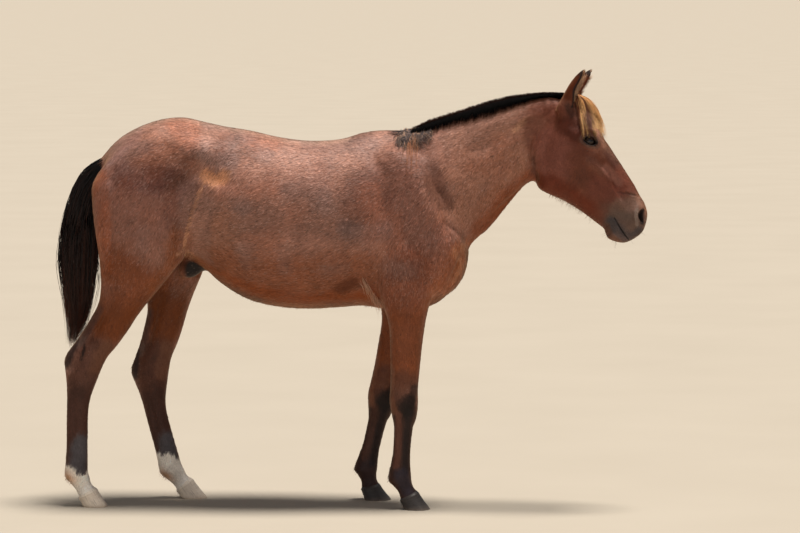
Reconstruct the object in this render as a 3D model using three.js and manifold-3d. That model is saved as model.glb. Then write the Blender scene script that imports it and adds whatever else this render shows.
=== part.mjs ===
// A young bay roan horse, life size, standing square on uneven steps with its head raised.
// Millimetres, +X toward the head, +Y toward its left side, +Z up, soles at zero.

import * as THREE from 'three';
import { mergeVertices } from 'three/addons/utils/BufferGeometryUtils.js';
import Module from 'manifold-3d';

const wasm = await Module();
wasm.setup();

// Driving dimensions.
const WITHERS_HEIGHT = 1312;
const CROUP_HEIGHT = 1353;
const BACK_HEIGHT = 1274;
const BELLY_HEIGHT = 684;
const BARREL_WIDTH = 470;
const NECK_WIDTH = 320;
const HEAD_WIDTH = 184;
const TAIL_WIDTH = 116;
const LEG_WIDTH = 100;
const EAR_WIDTH = 54;
const EYE_RADIUS = 22;
const MUZZLE_X = 1026;
const CHEST_X = 398;
const TAIL_X = -1035;

// Gaps: between the two sides of a parting cut, and between hair or eye and the flesh beside it.
const CUT = 0.4;
const GAP = 0.3;

// Points closer than this are one point when a mesh becomes a solid.
const MERGE_DISTANCE = 1e-3;

// The head and neck turn to the right, from this place on, up to this slope.
const TURN_START = 430;
const TURN_FULL = 640;
const TURN_SLOPE = 0.1;

// Facets round a section.
const BODY_SIDES = 20;
const HEAD_SIDES = 16;
const LEG_SIDES = 12;
const HAIR_SIDES = 8;
const BALL_SIDES = 10;

const LEFT = 1;
const RIGHT = -1;
const SIDES = { left: LEFT, right: RIGHT };

// Section rows: x and z of the upper (or front) edge, x and z of the lower (or rear) edge, width as
// a share of the part's named width, y of the middle, how far the widest place is shifted toward
// the upper edge (-1 to 1), and how full the upper and lower halves are: 2 is an ellipse, less is
// keener, more is squarer.
const ROW_DEFAULTS = [0, 0, 0, 0, 1, 0, 0, 2, 2];

const TRUNK = [
  [-872, 1205, -872, 1030, 0.20, 0, 0],
  [-841, 1254, -856, 960, 0.46, 0, 0],
  [-796, 1293, -800, 915, 0.64, 0, 0],
  [-725, 1329, -722, 892, 0.79, 0, 0],
  [-654, 1349, -650, 882, 0.86, 0, 0.05],
  [-584, CROUP_HEIGHT, -580, 872, 0.88, 0, 0.05],
  [-513, 1338, -513, 820, 0.88, 0, 0],
  [-443, 1323, -443, 762, 0.92, 0, -0.05],
  [-356, 1309, -356, 714, 0.97, 0, -0.1],
  [-251, 1286, -251, 690, 1.00, 0, -0.12],
  [-146, BACK_HEIGHT, -146, BELLY_HEIGHT, 1.00, 0, -0.12],
  [-41, 1280, -41, 690, 0.96, 0, -0.12, 1.9],
  [46, 1304, 40, 695, 0.89, 0, -0.15, 1.75],
  [133, WITHERS_HEIGHT, 120, 685, 0.81, 0, -0.15, 1.65],
  [220, 1300, 220, 684, 0.75, 0, -0.1, 1.7],
  [295, 1220, 290, 703, 0.70, 0, 0, 2],
  [345, 1095, 342, 745, 0.62, 0, 0, 2],
  [380, 975, 377, 810, 0.44, 0, 0, 2],
  [CHEST_X, 915, 396, 862, 0.2, 0, 0, 2],
];

const NECK = [
  [165, 1285, 285, 730, 0.88, 0, -0.1, 1.75],
  [208, 1306, 342, 760, 0.92, 0, -0.1, 1.8],
  [252, 1315, 386, 845, 0.88, 0, -0.12, 1.8],
  [307, 1336, 422, 915, 0.72, 0, -0.12, 1.8],
  [377, 1359, 472, 962, 0.57, 0, -0.1, 1.85],
  [446, 1383, 516, 1012, 0.49, 0, -0.05, 1.85],
  [516, 1402, 558, 1066, 0.44, 0, 0, 1.85],
  [585, 1416, 598, 1114, 0.41, 0, 0, 1.9],
  [648, 1424, 634, 1140, 0.385, 0, 0, 2],
  [705, 1427, 672, 1160, 0.33, 0, 0, 2],
  [738, 1412, 705, 1210, 0.2, 0, 0, 2],
];

const HEAD = [
  [742, 1428, 690, 1290, 0.42, 0, 0.1],
  [768, 1420, 655, 1210, 0.70, 0, 0.15],
  [800, 1391, 640, 1150, 0.86, 0, 0.2],
  [829, 1352, 655, 1112, 0.95, 0, 0.3, 2.5, 2.2],
  [857, 1306, 692, 1094, 1.00, 0, 0.38, 2.7, 2.2],
  [888, 1266, 727, 1075, 0.90, 0, 0.3, 2.4, 2.2],
  [912, 1230, 763, 1055, 0.74, 0, 0.15, 2.2, 2.2],
  [936, 1194, 798, 1033, 0.63, 0, 0.05, 2.1, 2.2],
  [959, 1158, 830, 1010, 0.55, 0, 0, 2.1, 2.2],
  [981, 1124, 858, 989, 0.52, 0, 0, 2.1, 2.2],
  [999, 1090, 877, 974, 0.52, 0, 0, 2.1, 2.3],
  [1016, 1062, 884, 958, 0.55, 0, 0.15, 2.4, 2.4],
  [MUZZLE_X, 1028, 893, 941, 0.55, 0, 0.2, 2.5, 2.4],
  [1023, 998, 917, 929, 0.49, 0, 0.1, 2.3, 2.4],
  [1014, 970, 946, 925, 0.41, 0, 0, 2.3, 2.3],
  [1001, 953, 968, 932, 0.25, 0, 0, 2, 2],
];

const TAIL = [
  [-845, 1252, -800, 1168, 0.48],
  [-878, 1219, -838, 1140, 0.55],
  [-915, 1190, -864, 1095, 0.68],
  [-948, 1159, -880, 1045, 0.80],
  [-977, 1104, -888, 1005, 0.90],
  [-1005, 1028, -888, 950, 0.96],
  [-1024, 945, -888, 890, 1.00],
  [TAIL_X, 850, -889, 820, 1.00],
  [-1029, 760, -896, 750, 0.92],
  [-1021, 680, -907, 685, 0.80],
  [-1012, 620, -924, 635, 0.62],
  [-1004, 565, -950, 590, 0.42],
  [-996, 535, -975, 548, 0.2],
];

// Mane, clipped short along the crest, and the forelock, both a little over the skin.
const MANE_WIDTH = 60;
const MANE = [
  [215, 1322, 210, 1282, 0.8, -8],
  [272, 1346, 262, 1298, 1.00, -7],
  [342, 1368, 328, 1317, 1.00, -5],
  [411, 1390, 396, 1341, 0.92, -5],
  [481, 1413, 468, 1366, 0.86, -4],
  [550, 1429, 540, 1384, 0.80, -3],
  [620, 1438, 613, 1398, 0.74, -2],
  [689, 1443, 684, 1407, 0.64, 0],
  [722, 1443, 720, 1417, 0.34, 0],
];

const FORELOCK_WIDTH = 96;
const FORELOCK = [
  [752, 1438, 740, 1405, 0.4, 0],
  [784, 1434, 760, 1390, 0.62, -2],
  [811, 1421, 778, 1370, 0.80, -4],
  [835, 1397, 794, 1345, 0.92, -6],
  [852, 1373, 806, 1325, 1.00, -8],
  [863, 1346, 818, 1305, 0.94, -10],
  [870, 1319, 832, 1290, 0.72, -10],
  [878, 1290, 850, 1272, 0.36, -8],
];

// Legs. The joints are the shoulder blade (or croup), shoulder (or hip), elbow (or stifle), knee
// (or hock), fetlock and coronet: x, y as a distance from the middle, and z.
const FORELEG_JOINTS = {
  left: [[220, 112, 1100], [200, 116, 900], [172, 122, 720], [96, 120, 370], [40, 118, 112], [54, 118, 42]],
  right: [[240, 112, 1100], [222, 116, 900], [198, 122, 720], [190, 120, 375], [176, 118, 112], [207, 118, 42]],
};
const HINDLEG_JOINTS = {
  left: [[-672, 78, 1270], [-682, 112, 1110], [-641, 128, 850], [-722, 123, 450], [-655, 121, 106], [-606, 121, 42]],
  right: [[-680, 78, 1270], [-690, 112, 1110], [-732, 128, 850], [-922, 123, 500], [-954, 121, 116], [-916, 121, 42]],
};

// Leg sections: place along the joints, distance to the front edge and to the rear edge, half
// width, all in mm, then how full the front and rear halves are.
const FORELEG = [
  [0.0, 60, 58, 40],
  [0.5, 92, 96, 60],
  [1.0, 108, 112, 68],
  [1.4, 108, 112, 70],
  [1.8, 92, 100, 68],
  [2.0, 84, 88, 66],
  [2.15, 73, 70, 61, 2, 2.1],
  [2.3, 66, 58, 55, 2, 2.1],
  [2.5, 59, 54, 49, 2, 2.1],
  [2.7, 54, 51, 45, 2, 2.1],
  [2.86, 50, 51, 43, 2.3, 2.1],
  [3.0, 51, 52, 44, 2.6, 2.1],
  [3.12, 51, 46, 42, 2.5, 2],
  [3.25, 47, 37, 36, 2.2, 2],
  [3.36, 39, 32, 29, 2, 2],
  [3.65, 35, 32, 25, 2, 2],
  [3.82, 36, 38, 28, 2, 2],
  [4.0, 42, 44, 34, 2.1, 2.1],
  [4.28, 35, 39, 30, 2.1, 2.1],
  [4.62, 31, 29, 28, 2, 2.1],
  [5.0, 37, 32, 36, 2, 2.3],
];
const HINDLEG = [
  [0.0, 90, 80, 40],
  [0.5, 172, 160, 84],
  [1.0, 195, 203, 106],
  [1.25, 196, 199, 108],
  [1.5, 182, 186, 104],
  [1.75, 155, 170, 96],
  [2.0, 121, 151, 85],
  [2.15, 110, 114, 76],
  [2.3, 97, 81, 67],
  [2.45, 87, 61, 59],
  [2.6, 82, 60, 53, 2, 1.9],
  [2.75, 74, 64, 47, 2, 1.8],
  [2.88, 63, 71, 43, 2.1, 1.8],
  [3.0, 63, 75, 42, 2.2, 1.8],
  [3.1, 52, 71, 41, 2.2, 1.9],
  [3.2, 41, 63, 38, 2.2, 1.9],
  [3.32, 30, 57, 32, 2.1, 1.9],
  [3.45, 27, 54, 28, 2, 1.9],
  [3.6, 30, 50, 27, 2, 2],
  [3.75, 34, 46, 29, 2, 2],
  [3.88, 38, 45, 34, 2.1, 2],
  [4.0, 42, 45, 36, 2.1, 2.1],
  [4.32, 36, 40, 32, 2.1, 2.1],
  [4.66, 31, 32, 29, 2, 2.1],
  [5.0, 37, 33, 37, 2, 2.3],
];

// Hooves: how far the toe and the heel stand forward of the coronet, and half the sole's width.
const FORE_RUNS = { left: [38, 12], right: [40, 12] };
const HIND_RUNS = { left: [50, 16], right: [38, 14] };
const HOOF_SOLE_HALF = 50;
const HIND_SOLE_HALF = 47;
const HOOF_FULLNESS = 2.3;
const HEEL_FULLNESS = 3.2;

// Rounded masses of muscle and bone: centre x, y (from the middle), z, three radii, then the turn
// about the side-to-side axis in degrees, nose down being positive.
const SHOULDER_BLADE = [232, 92, 1050, 100, 80, 215, -28];
const UPPER_ARM = [240, 98, 862, 155, 82, 96, -25];
const BREAST = [322, 66, 850, 74, 84, 100, 0];
const BROW = [834, 50, 1288, 50, 38, 32, 58];
const JAW = [728, 28, 1170, 76, 38, 84, 20];
const MASSES = [SHOULDER_BLADE, UPPER_ARM, BREAST, BROW, JAW];
const SHEATH = [-560, 0, 836, 58, 38, 42, -40];
const NOSTRIL = [1012, 40, 1014, 8, 14, 26, 10];
const WITHERS_TUFT = [226, -74, 1262, 56, 17, 72, 0];
const WITHERS_TUFT_LEAN = -36;
const EYE = [826, 72, 1277];

// Ears: middle of the base and the tip of each.
const EARS = {
  left: { base: [746, 40, 1392], tip: [832, 62, 1517] },
  right: { base: [742, 40, 1392], tip: [812, 60, 1520] },
};
const EAR_DEPTH_SHARE = 1.05;
const EAR_OPENING_TURN = 24;
const EAR_SCOOP_SHARE = 0.84;
const EAR_SCOOP_SHIFT = 0.42;
const EAR_SCOOP_START = 0.3;
const EAR_SCOOP_END = 0.955;
const EAR_STEPS = [0, 0.15, 0.3, 0.46, 0.62, 0.77, 0.9, 1];

// The half width of an ear at a share u of its length: it swells above the base, then runs to a point.
const EAR_POINT_SHARE = 0.985;
const EAR_POINT_POWER = 0.6;
const EAR_BASE_SHARE = 0.8;
const EAR_SWELL_SHARE = 1.05;

// Parting cuts: a point on the face of each cut, the size of what it holds, and its turn.
const HEAD_CUT = { point: [676, 0, 1280], size: [700, 500, 600], tip: -72 };
const NECK_CUT = { point: [310, 0, 1095], size: [1000, 700, 700], tip: -111.2 };
const EAR_CUT = { point: [757, 62, 1434], size: [150, 104, 180], tip: -150 };
const LEG_BOX = [560, 220, 900];
const LEG_BOX_MIDDLE = 130;
const FORELEG_X = 130;
const HINDLEG_X = -770;
const FOREARM_TOP = 676;
const GASKIN_TOP = 745;
const KNEE_LIFT = 55;
const HOCK_LIFT = 80;
const FETLOCK_LIFT = 50;
const THIGH_FRONT = { left: -480, right: -512 };
const THIGH_INNER = 56;
const THIGH_INNER_HEIGHT = 835;
const THIGH_ROLL = 56.5;
const THIGH_BOX = [560, 480, 400];
const THIGH_BOX_OFFSET = 160;

const COAT = { color: 0x6e4030, roughness: 0.62, metalness: 0 };
const DARK_LEG = { color: 0x2c1d18, roughness: 0.6, metalness: 0 };
const WHITE_SOCK = { color: 0xc9b5a4, roughness: 0.65, metalness: 0 };
const HAIR = { color: 0x1c1514, roughness: 0.55, metalness: 0 };
const FORELOCK_HAIR = { color: 0x9a6a3a, roughness: 0.55, metalness: 0 };
const DARK_HORN = { color: 0x35302c, roughness: 0.5, metalness: 0 };
const PALE_HORN = { color: 0xa8957f, roughness: 0.5, metalness: 0 };
const EYEBALL = { color: 0x14100f, roughness: 0.08, metalness: 0 };

// Catmull-Rom curve through whole rows, with so many steps between two rows.
function smoothRows(rows, steps) {
  const out = [];
  for (let i = 0; i < rows.length - 1; i += 1) {
    const before = rows[Math.max(i - 1, 0)];
    const after = rows[Math.min(i + 2, rows.length - 1)];
    for (let k = 0; k < steps; k += 1) {
      const t = k / steps;
      out.push(rows[i].map((value, c) => catmullRom(before[c], value, rows[i + 1][c], after[c], t)));
    }
  }
  out.push(rows[rows.length - 1]);
  return out;
}

function catmullRom(p0, p1, p2, p3, t) {
  const slope1 = (p2 - p0) / 2;
  const slope2 = (p3 - p1) / 2;
  const rise = p2 - p1;
  return p1 + t * (slope1 + t * (3 * rise - 2 * slope1 - slope2 + t * (slope1 + slope2 - 2 * rise)));
}

// The sideways turn of the head and neck: none, then a growing slope, then a steady one.
function turned(point) {
  const run = THREE.MathUtils.clamp(point.x - TURN_START, 0, TURN_FULL - TURN_START);
  const past = Math.max(point.x - TURN_FULL, 0);
  const shift = TURN_SLOPE * ((run * run) / (2 * (TURN_FULL - TURN_START)) + past);
  return new THREE.Vector3(point.x, point.y - shift, point.z);
}

// One ring of a section row: cosine carries it between the two edges, sine to either side, each
// raised to a power that sets how full that half is.
function ring(row, sides, width, grow) {
  const [ax, az, bx, bz, share, y, shift, upperFull, lowerFull] = row;
  const height = Math.hypot(ax - bx, az - bz) / 2;
  const stretch = (height + grow) / height;
  const points = [];
  for (let i = 0; i < sides; i += 1) {
    const angle = (2 * Math.PI * i) / sides;
    const c = Math.cos(angle);
    const s = Math.sin(angle);
    const power = 2 / (c > 0 ? upperFull : lowerFull);
    const along = Math.sign(c) * Math.abs(c) ** power;
    const across = Math.sign(s) * Math.abs(s) ** power;
    const place = (shift + (along > 0 ? 1 - shift : 1 + shift) * along) * stretch;
    const x = (ax + bx) / 2 + ((ax - bx) / 2) * place;
    const z = (az + bz) / 2 + ((az - bz) / 2) * place;
    points.push(turned(new THREE.Vector3(x, y + ((width * share) / 2 + grow) * across, z)));
  }
  return points;
}

// A closed skin over rings of equal length, each end closed by a fan to its middle.
function closedSkin(rings) {
  const sides = rings[0].length;
  const ends = [rings[0], rings[rings.length - 1]].map((points) => {
    const middle = new THREE.Vector3();
    points.forEach((point) => middle.addScaledVector(point, 1 / sides));
    return middle;
  });
  const all = [...rings.flat(), ...ends];
  const index = [];
  const last = (rings.length - 1) * sides;
  for (let i = 0; i < sides; i += 1) {
    const next = (i + 1) % sides;
    for (let r = 0; r < last; r += sides) {
      index.push(r + i, r + next, r + sides + i, r + next, r + sides + next, r + sides + i);
    }
    index.push(all.length - 2, next, i, all.length - 1, last + i, last + next);
  }
  const geometry = new THREE.BufferGeometry();
  geometry.setAttribute('position', new THREE.Float32BufferAttribute(all.flatMap((p) => p.toArray()), 3));
  geometry.setIndex(index);
  return geometry;
}

function signedVolume(vertices, triangles) {
  const corner = (i) => new THREE.Vector3().fromArray(vertices, 3 * triangles[i]);
  let volume = 0;
  for (let i = 0; i < triangles.length; i += 3) {
    volume += corner(i).dot(corner(i + 1).cross(corner(i + 2))) / 6;
  }
  return volume;
}

// A solid from any closed geometry, its faces turned out.
function solid(geometry) {
  const bare = geometry.clone();
  bare.deleteAttribute('normal');
  bare.deleteAttribute('uv');
  const merged = mergeVertices(bare, MERGE_DISTANCE);
  const vertices = merged.attributes.position.array;
  const triangles = Uint32Array.from(merged.index.array);
  if (signedVolume(vertices, triangles) < 0) {
    triangles.reverse();
  }
  return new wasm.Manifold(new wasm.Mesh({ numProp: 3, vertProperties: vertices, triVerts: triangles }));
}

function loft(rows, { width, sides, steps = 1, grow = 0 }) {
  const full = rows.map((row) => ROW_DEFAULTS.map((value, i) => row[i] ?? value));
  return solid(closedSkin(smoothRows(full, steps).map((row) => ring(row, sides, width, grow))));
}

function ball(mass, side, grow = 0, sideways = 0) {
  const [x, y, z, rx, ry, rz, tilt] = mass;
  const geometry = new THREE.SphereGeometry(1, BALL_SIDES, BALL_SIDES / 2 + 1);
  geometry.scale(rx + grow, ry + grow, rz + grow);
  geometry.rotateX(THREE.MathUtils.degToRad(sideways * side));
  geometry.rotateY(THREE.MathUtils.degToRad(tilt));
  const middle = turned(new THREE.Vector3(x, y * side, z));
  geometry.translate(middle.x, middle.y, middle.z);
  return solid(geometry);
}

// Leg sections as section rows: each is square to the leg, and at a joint it halves the bend.
function legRows(joints, profile, side) {
  const slopes = joints.slice(1).map((joint, i) => Math.atan2(joint[0] - joints[i][0], joints[i][2] - joint[2]));
  const bends = joints.map((joint, i) => {
    const before = slopes[Math.max(i - 1, 0)];
    const after = slopes[Math.min(i, slopes.length - 1)];
    return (before + after) / 2;
  });
  return profile.map(([place, front, rear, half, frontFull = 2, rearFull = 2]) => {
    const i = Math.min(Math.floor(place), joints.length - 2);
    const t = place - i;
    const mix = (from, to) => from + t * (to - from);
    const x = mix(joints[i][0], joints[i + 1][0]);
    const y = mix(joints[i][1], joints[i + 1][1]);
    const z = mix(joints[i][2], joints[i + 1][2]);
    const angle = mix(bends[i], bends[i + 1]);
    const dx = Math.cos(angle);
    const dz = Math.sin(angle);
    const share = half / (LEG_WIDTH / 2);
    return [x + front * dx, z + front * dz, x - rear * dx, z - rear * dz, share, side * y, 0, frontFull, rearFull];
  });
}

function leg(joints, profile, side, grow = 0) {
  return loft(legRows(joints, profile, side), { width: LEG_WIDTH, sides: LEG_SIDES, grow });
}

// The horn box of a hoof: from just under the coronet down to a flat sole.
function hoof(joints, profile, side, [toeRun, heelRun], soleHalf) {
  const [fx, fz, rx, rz, share, y] = legRows(joints, profile, side).pop();
  const length = Math.hypot(fx - rx, fz - rz);
  const down = { x: ((fz - rz) / length) * CUT, z: (-(fx - rx) / length) * CUT };
  const crown = [fx + down.x, fz + down.z, rx + down.x, rz + down.z, share, y, 0, 2, HOOF_FULLNESS];
  const sole = [fx + toeRun, 0, rx + heelRun, 0, soleHalf / (LEG_WIDTH / 2), y, 0, HOOF_FULLNESS, HEEL_FULLNESS];
  const rows = [crown, crown.map((value, i) => (value + sole[i]) / 2), sole];
  return loft(rows, { width: LEG_WIDTH, sides: LEG_SIDES });
}

// One surface of an ear: ellipses along its axis. The scoop that hollows the ear is the same shape,
// smaller and moved to the opening.
function earSurface({ base, tip }, side, scoop, grow) {
  const foot = new THREE.Vector3(base[0], base[1] * side, base[2]);
  const top = new THREE.Vector3(tip[0], tip[1] * side, tip[2]);
  const axis = top.clone().sub(foot).normalize();
  const opening = new THREE.Vector3(1, 0, 0).applyAxisAngle(axis, THREE.MathUtils.degToRad(EAR_OPENING_TURN * side));
  opening.addScaledVector(axis, -opening.dot(axis)).normalize();
  const across = new THREE.Vector3().crossVectors(axis, opening);
  const start = scoop ? EAR_SCOOP_START : 0;
  const end = scoop ? EAR_SCOOP_END : 1;
  const rings = EAR_STEPS.map((step) => {
    const u = start + (end - start) * step;
    const point = (1 - u * EAR_POINT_SHARE) ** EAR_POINT_POWER;
    const swell = (EAR_WIDTH / 2) * point * (EAR_BASE_SHARE + EAR_SWELL_SHARE * u) + grow;
    const share = scoop ? EAR_SCOOP_SHARE : 1;
    const middle = foot.clone().lerp(top, u).addScaledVector(opening, scoop ? EAR_SCOOP_SHIFT * swell : 0);
    return Array.from({ length: HAIR_SIDES }, (_, i) => {
      const angle = (2 * Math.PI * i) / HAIR_SIDES;
      const place = middle.clone().addScaledVector(opening, share * EAR_DEPTH_SHARE * swell * Math.cos(angle));
      return turned(place.addScaledVector(across, share * swell * Math.sin(angle)));
    });
  });
  return solid(closedSkin(rings));
}

function joined(solids) {
  return solids.reduce((whole, next) => whole.add(next));
}

// All the flesh as one solid, without the hollows of the eyes, ears and nostrils.
function flesh(grow) {
  const body = [
    loft(TRUNK, { width: BARREL_WIDTH, sides: BODY_SIDES, grow }),
    loft(NECK, { width: NECK_WIDTH, sides: BODY_SIDES, grow }),
    loft(HEAD, { width: HEAD_WIDTH, sides: HEAD_SIDES, grow }),
    ball(SHEATH, LEFT, grow),
  ];
  for (const [name, side] of Object.entries(SIDES)) {
    body.push(...MASSES.map((mass) => ball(mass, side, grow)));
    body.push(leg(FORELEG_JOINTS[name], FORELEG, side, grow));
    body.push(leg(HINDLEG_JOINTS[name], HINDLEG, side, grow));
    body.push(earSurface(EARS[name], side, false, grow));
  }
  return joined(body);
}

// A box that holds one side of a parting cut: its upper face passes through the point, turned
// about the side-to-side axis (tip) and the long axis (roll), in degrees.
function partingBox({ point, size, tip = 0, roll = 0, offset = 0 }, grow) {
  const [long, wide, deep] = size;
  const box = new THREE.BoxGeometry(long + 2 * grow, wide + 2 * grow, deep + 2 * grow);
  box.translate(0, offset, -deep / 2);
  box.rotateX(THREE.MathUtils.degToRad(roll));
  box.rotateY(THREE.MathUtils.degToRad(tip));
  box.translate(...point);
  return solid(box);
}

const horse = new THREE.Group();

function addPart(name, shape, look) {
  const { vertProperties, triVerts } = shape.getMesh();
  const geometry = new THREE.BufferGeometry();
  geometry.setAttribute('position', new THREE.BufferAttribute(Float32Array.from(vertProperties), 3));
  geometry.setIndex(new THREE.BufferAttribute(Uint32Array.from(triVerts), 1));
  geometry.computeVertexNormals();
  const mesh = new THREE.Mesh(geometry, new THREE.MeshStandardMaterial(look));
  mesh.name = name;
  horse.add(mesh);
}

let body = flesh(0);
const hairBed = flesh(GAP);

// Takes what a box holds off the body, with a thin cut between.
function partOff(name, look, box) {
  addPart(name, body.intersect(partingBox(box, 0)), look);
  body = body.subtract(partingBox(box, CUT));
}

// Hollows of the ears and nostrils, and the eyes in their sockets.
for (const [name, side] of Object.entries(SIDES)) {
  body = body.subtract(earSurface(EARS[name], side, true, 0));
  body = body.subtract(ball(NOSTRIL, side));
  const eye = [...EYE, EYE_RADIUS, EYE_RADIUS, EYE_RADIUS, 0];
  body = body.subtract(ball(eye, side, GAP));
  addPart(`eye_${name}`, ball(eye, side), EYEBALL);
}

for (const [name, side] of Object.entries(SIDES)) {
  const ear = { ...EAR_CUT, point: [EAR_CUT.point[0], EAR_CUT.point[1] * side, EAR_CUT.point[2]] };
  partOff(`ear_${name}`, COAT, ear);
  const fore = FORELEG_JOINTS[name];
  const hind = HINDLEG_JOINTS[name];
  const across = LEG_BOX_MIDDLE * side;
  const legBox = (x, z) => ({ point: [x, across, z], size: LEG_BOX });
  partOff(`foreleg_${name}_pastern`, DARK_LEG, legBox(FORELEG_X, fore[4][2] + FETLOCK_LIFT));
  partOff(`foreleg_${name}_cannon`, DARK_LEG, legBox(FORELEG_X, fore[3][2] + KNEE_LIFT));
  partOff(`foreleg_${name}_forearm`, COAT, legBox(FORELEG_X, FOREARM_TOP));
  partOff(`hindleg_${name}_pastern`, WHITE_SOCK, legBox(HINDLEG_X, hind[4][2] + FETLOCK_LIFT));
  partOff(`hindleg_${name}_cannon`, DARK_LEG, legBox(HINDLEG_X, hind[3][2] + HOCK_LIFT));
  partOff(`hindleg_${name}_gaskin`, COAT, legBox(HINDLEG_X, GASKIN_TOP));
  partOff(`hindleg_${name}_thigh`, COAT, {
    point: [THIGH_FRONT[name] - THIGH_BOX[0] / 2, THIGH_INNER * side, THIGH_INNER_HEIGHT],
    size: THIGH_BOX,
    roll: THIGH_ROLL * side,
    offset: THIGH_BOX_OFFSET * side,
  });
  addPart(`hoof_fore_${name}`, hoof(fore, FORELEG, side, FORE_RUNS[name], HOOF_SOLE_HALF), DARK_HORN);
  addPart(`hoof_hind_${name}`, hoof(hind, HINDLEG, side, HIND_RUNS[name], HIND_SOLE_HALF), PALE_HORN);
}

partOff('head', COAT, HEAD_CUT);
partOff('neck', COAT, NECK_CUT);
addPart('trunk', body, COAT);

const tuft = ball(WITHERS_TUFT, LEFT, 0, WITHERS_TUFT_LEAN);
const mane = loft(MANE, { width: MANE_WIDTH, sides: HAIR_SIDES }).add(tuft);
addPart('mane', mane.subtract(hairBed), HAIR);
const forelock = loft(FORELOCK, { width: FORELOCK_WIDTH, sides: HAIR_SIDES });
addPart('forelock', forelock.subtract(hairBed), FORELOCK_HAIR);
const tail = loft(TAIL, { width: TAIL_WIDTH, sides: HAIR_SIDES });
addPart('tail', tail.subtract(hairBed), HAIR);

// The origin is the middle of the outline, at the level of the soles.
const outline = new THREE.Box3().setFromObject(horse);
const middle = outline.getCenter(new THREE.Vector3());
horse.position.set(-middle.x, -middle.y, 0);

export default horse;
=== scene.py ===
"""A young bay roan horse, life size, standing at ease with its head raised.

Lengths are metres, +X runs toward the head, +Y toward the horse's left and +Z up. One skin, its short
coat, the long hair, the eyes and the hooves are worked out from section tables, as surfaces of two
parameters and as one blended solid.
"""

import math

import bpy
import numpy as np
import openvdb as vdb
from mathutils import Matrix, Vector


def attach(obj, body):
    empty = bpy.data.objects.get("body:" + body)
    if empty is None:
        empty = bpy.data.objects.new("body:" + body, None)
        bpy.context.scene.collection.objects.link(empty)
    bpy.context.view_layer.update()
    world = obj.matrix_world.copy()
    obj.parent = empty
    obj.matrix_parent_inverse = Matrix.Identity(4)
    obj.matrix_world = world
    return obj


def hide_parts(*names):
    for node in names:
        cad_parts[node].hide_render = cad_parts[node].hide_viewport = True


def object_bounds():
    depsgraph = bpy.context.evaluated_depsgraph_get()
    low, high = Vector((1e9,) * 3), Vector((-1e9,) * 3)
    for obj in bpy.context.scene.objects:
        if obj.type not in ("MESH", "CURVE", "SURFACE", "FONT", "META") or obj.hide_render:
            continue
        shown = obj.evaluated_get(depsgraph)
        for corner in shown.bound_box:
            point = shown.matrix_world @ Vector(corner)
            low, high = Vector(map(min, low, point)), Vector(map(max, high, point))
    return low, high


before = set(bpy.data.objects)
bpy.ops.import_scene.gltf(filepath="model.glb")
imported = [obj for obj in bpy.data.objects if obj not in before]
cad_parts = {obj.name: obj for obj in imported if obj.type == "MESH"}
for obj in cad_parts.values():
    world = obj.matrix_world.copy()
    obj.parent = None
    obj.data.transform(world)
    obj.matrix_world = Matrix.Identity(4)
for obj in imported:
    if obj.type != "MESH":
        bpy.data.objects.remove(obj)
CAD_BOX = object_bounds()

bl_info = {
    "name": "Standing Roan Horse",
    "version": (1, 0, 0),
    "blender": (4, 5, 0),
    "location": "View3D > Sidebar > Horse",
    "description": "Builds a life-size bay roan horse with skin, coat, long hair, eyes and hooves",
    "category": "Add Mesh",
}

# ---------------------------------------------------------------- driving sizes
MUZZLE_X = 1.026
SHIFT_X = CAD_BOX[1][0] - MUZZLE_X  # the tables' x to the frame's x
BARREL_WIDTH = 0.470
NECK_WIDTH = 0.320
HEAD_WIDTH = 0.184
TAIL_WIDTH = 0.116
LEG_WIDTH = 0.100
EAR_WIDTH = 0.054
EYE_RADIUS = 0.022
LEFT = 1.0
RIGHT = -1.0
SIDES = {"left": LEFT, "right": RIGHT}

# The head and neck turn to the right, from this place on, up to this slope.
TURN_START = 0.430
TURN_FULL = 0.640
TURN_SLOPE = 0.1


def mm(word):
    """A length written in millimetres."""
    return float(word + "e-3")


def read_rows(text, first=0, last=4):
    """Rows of numbers from lines of text, with millimetres in the columns from first to before last."""
    return [[mm(word) if first <= i < last else float(word) for i, word in enumerate(line.split())]
            for line in text.split("\n") if line]


def drawn(text, along):
    """Lines drawn over the side of the body, from lines of text: a name, words and places, parted by
    colons. A place is x and z in millimetres, or, with along as float, a place on a leg's joints and a
    distance ahead of its middle."""
    for line in text.strip().split("\n"):
        name, words, places = line.split(":")
        places = places.split()
        yield name, words.split(), [(along(a), mm(b)) for a, b in zip(places[::2], places[1::2])]


def read_strokes(text, along=mm):
    """Strokes: a line, how far it reaches to either side, and how much it raises the skin."""
    return [(line, *map(mm, words)) for _, words, line in drawn(text, along)]


def read_zones(text, along=mm):
    """Zones of colour: a name, a display colour, a line, its reach and how strongly it covers."""
    return [(name, tuple(map(int, words[:3])), line, mm(words[3]), float(words[4]))
            for name, words, line in drawn(text, along)]


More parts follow.
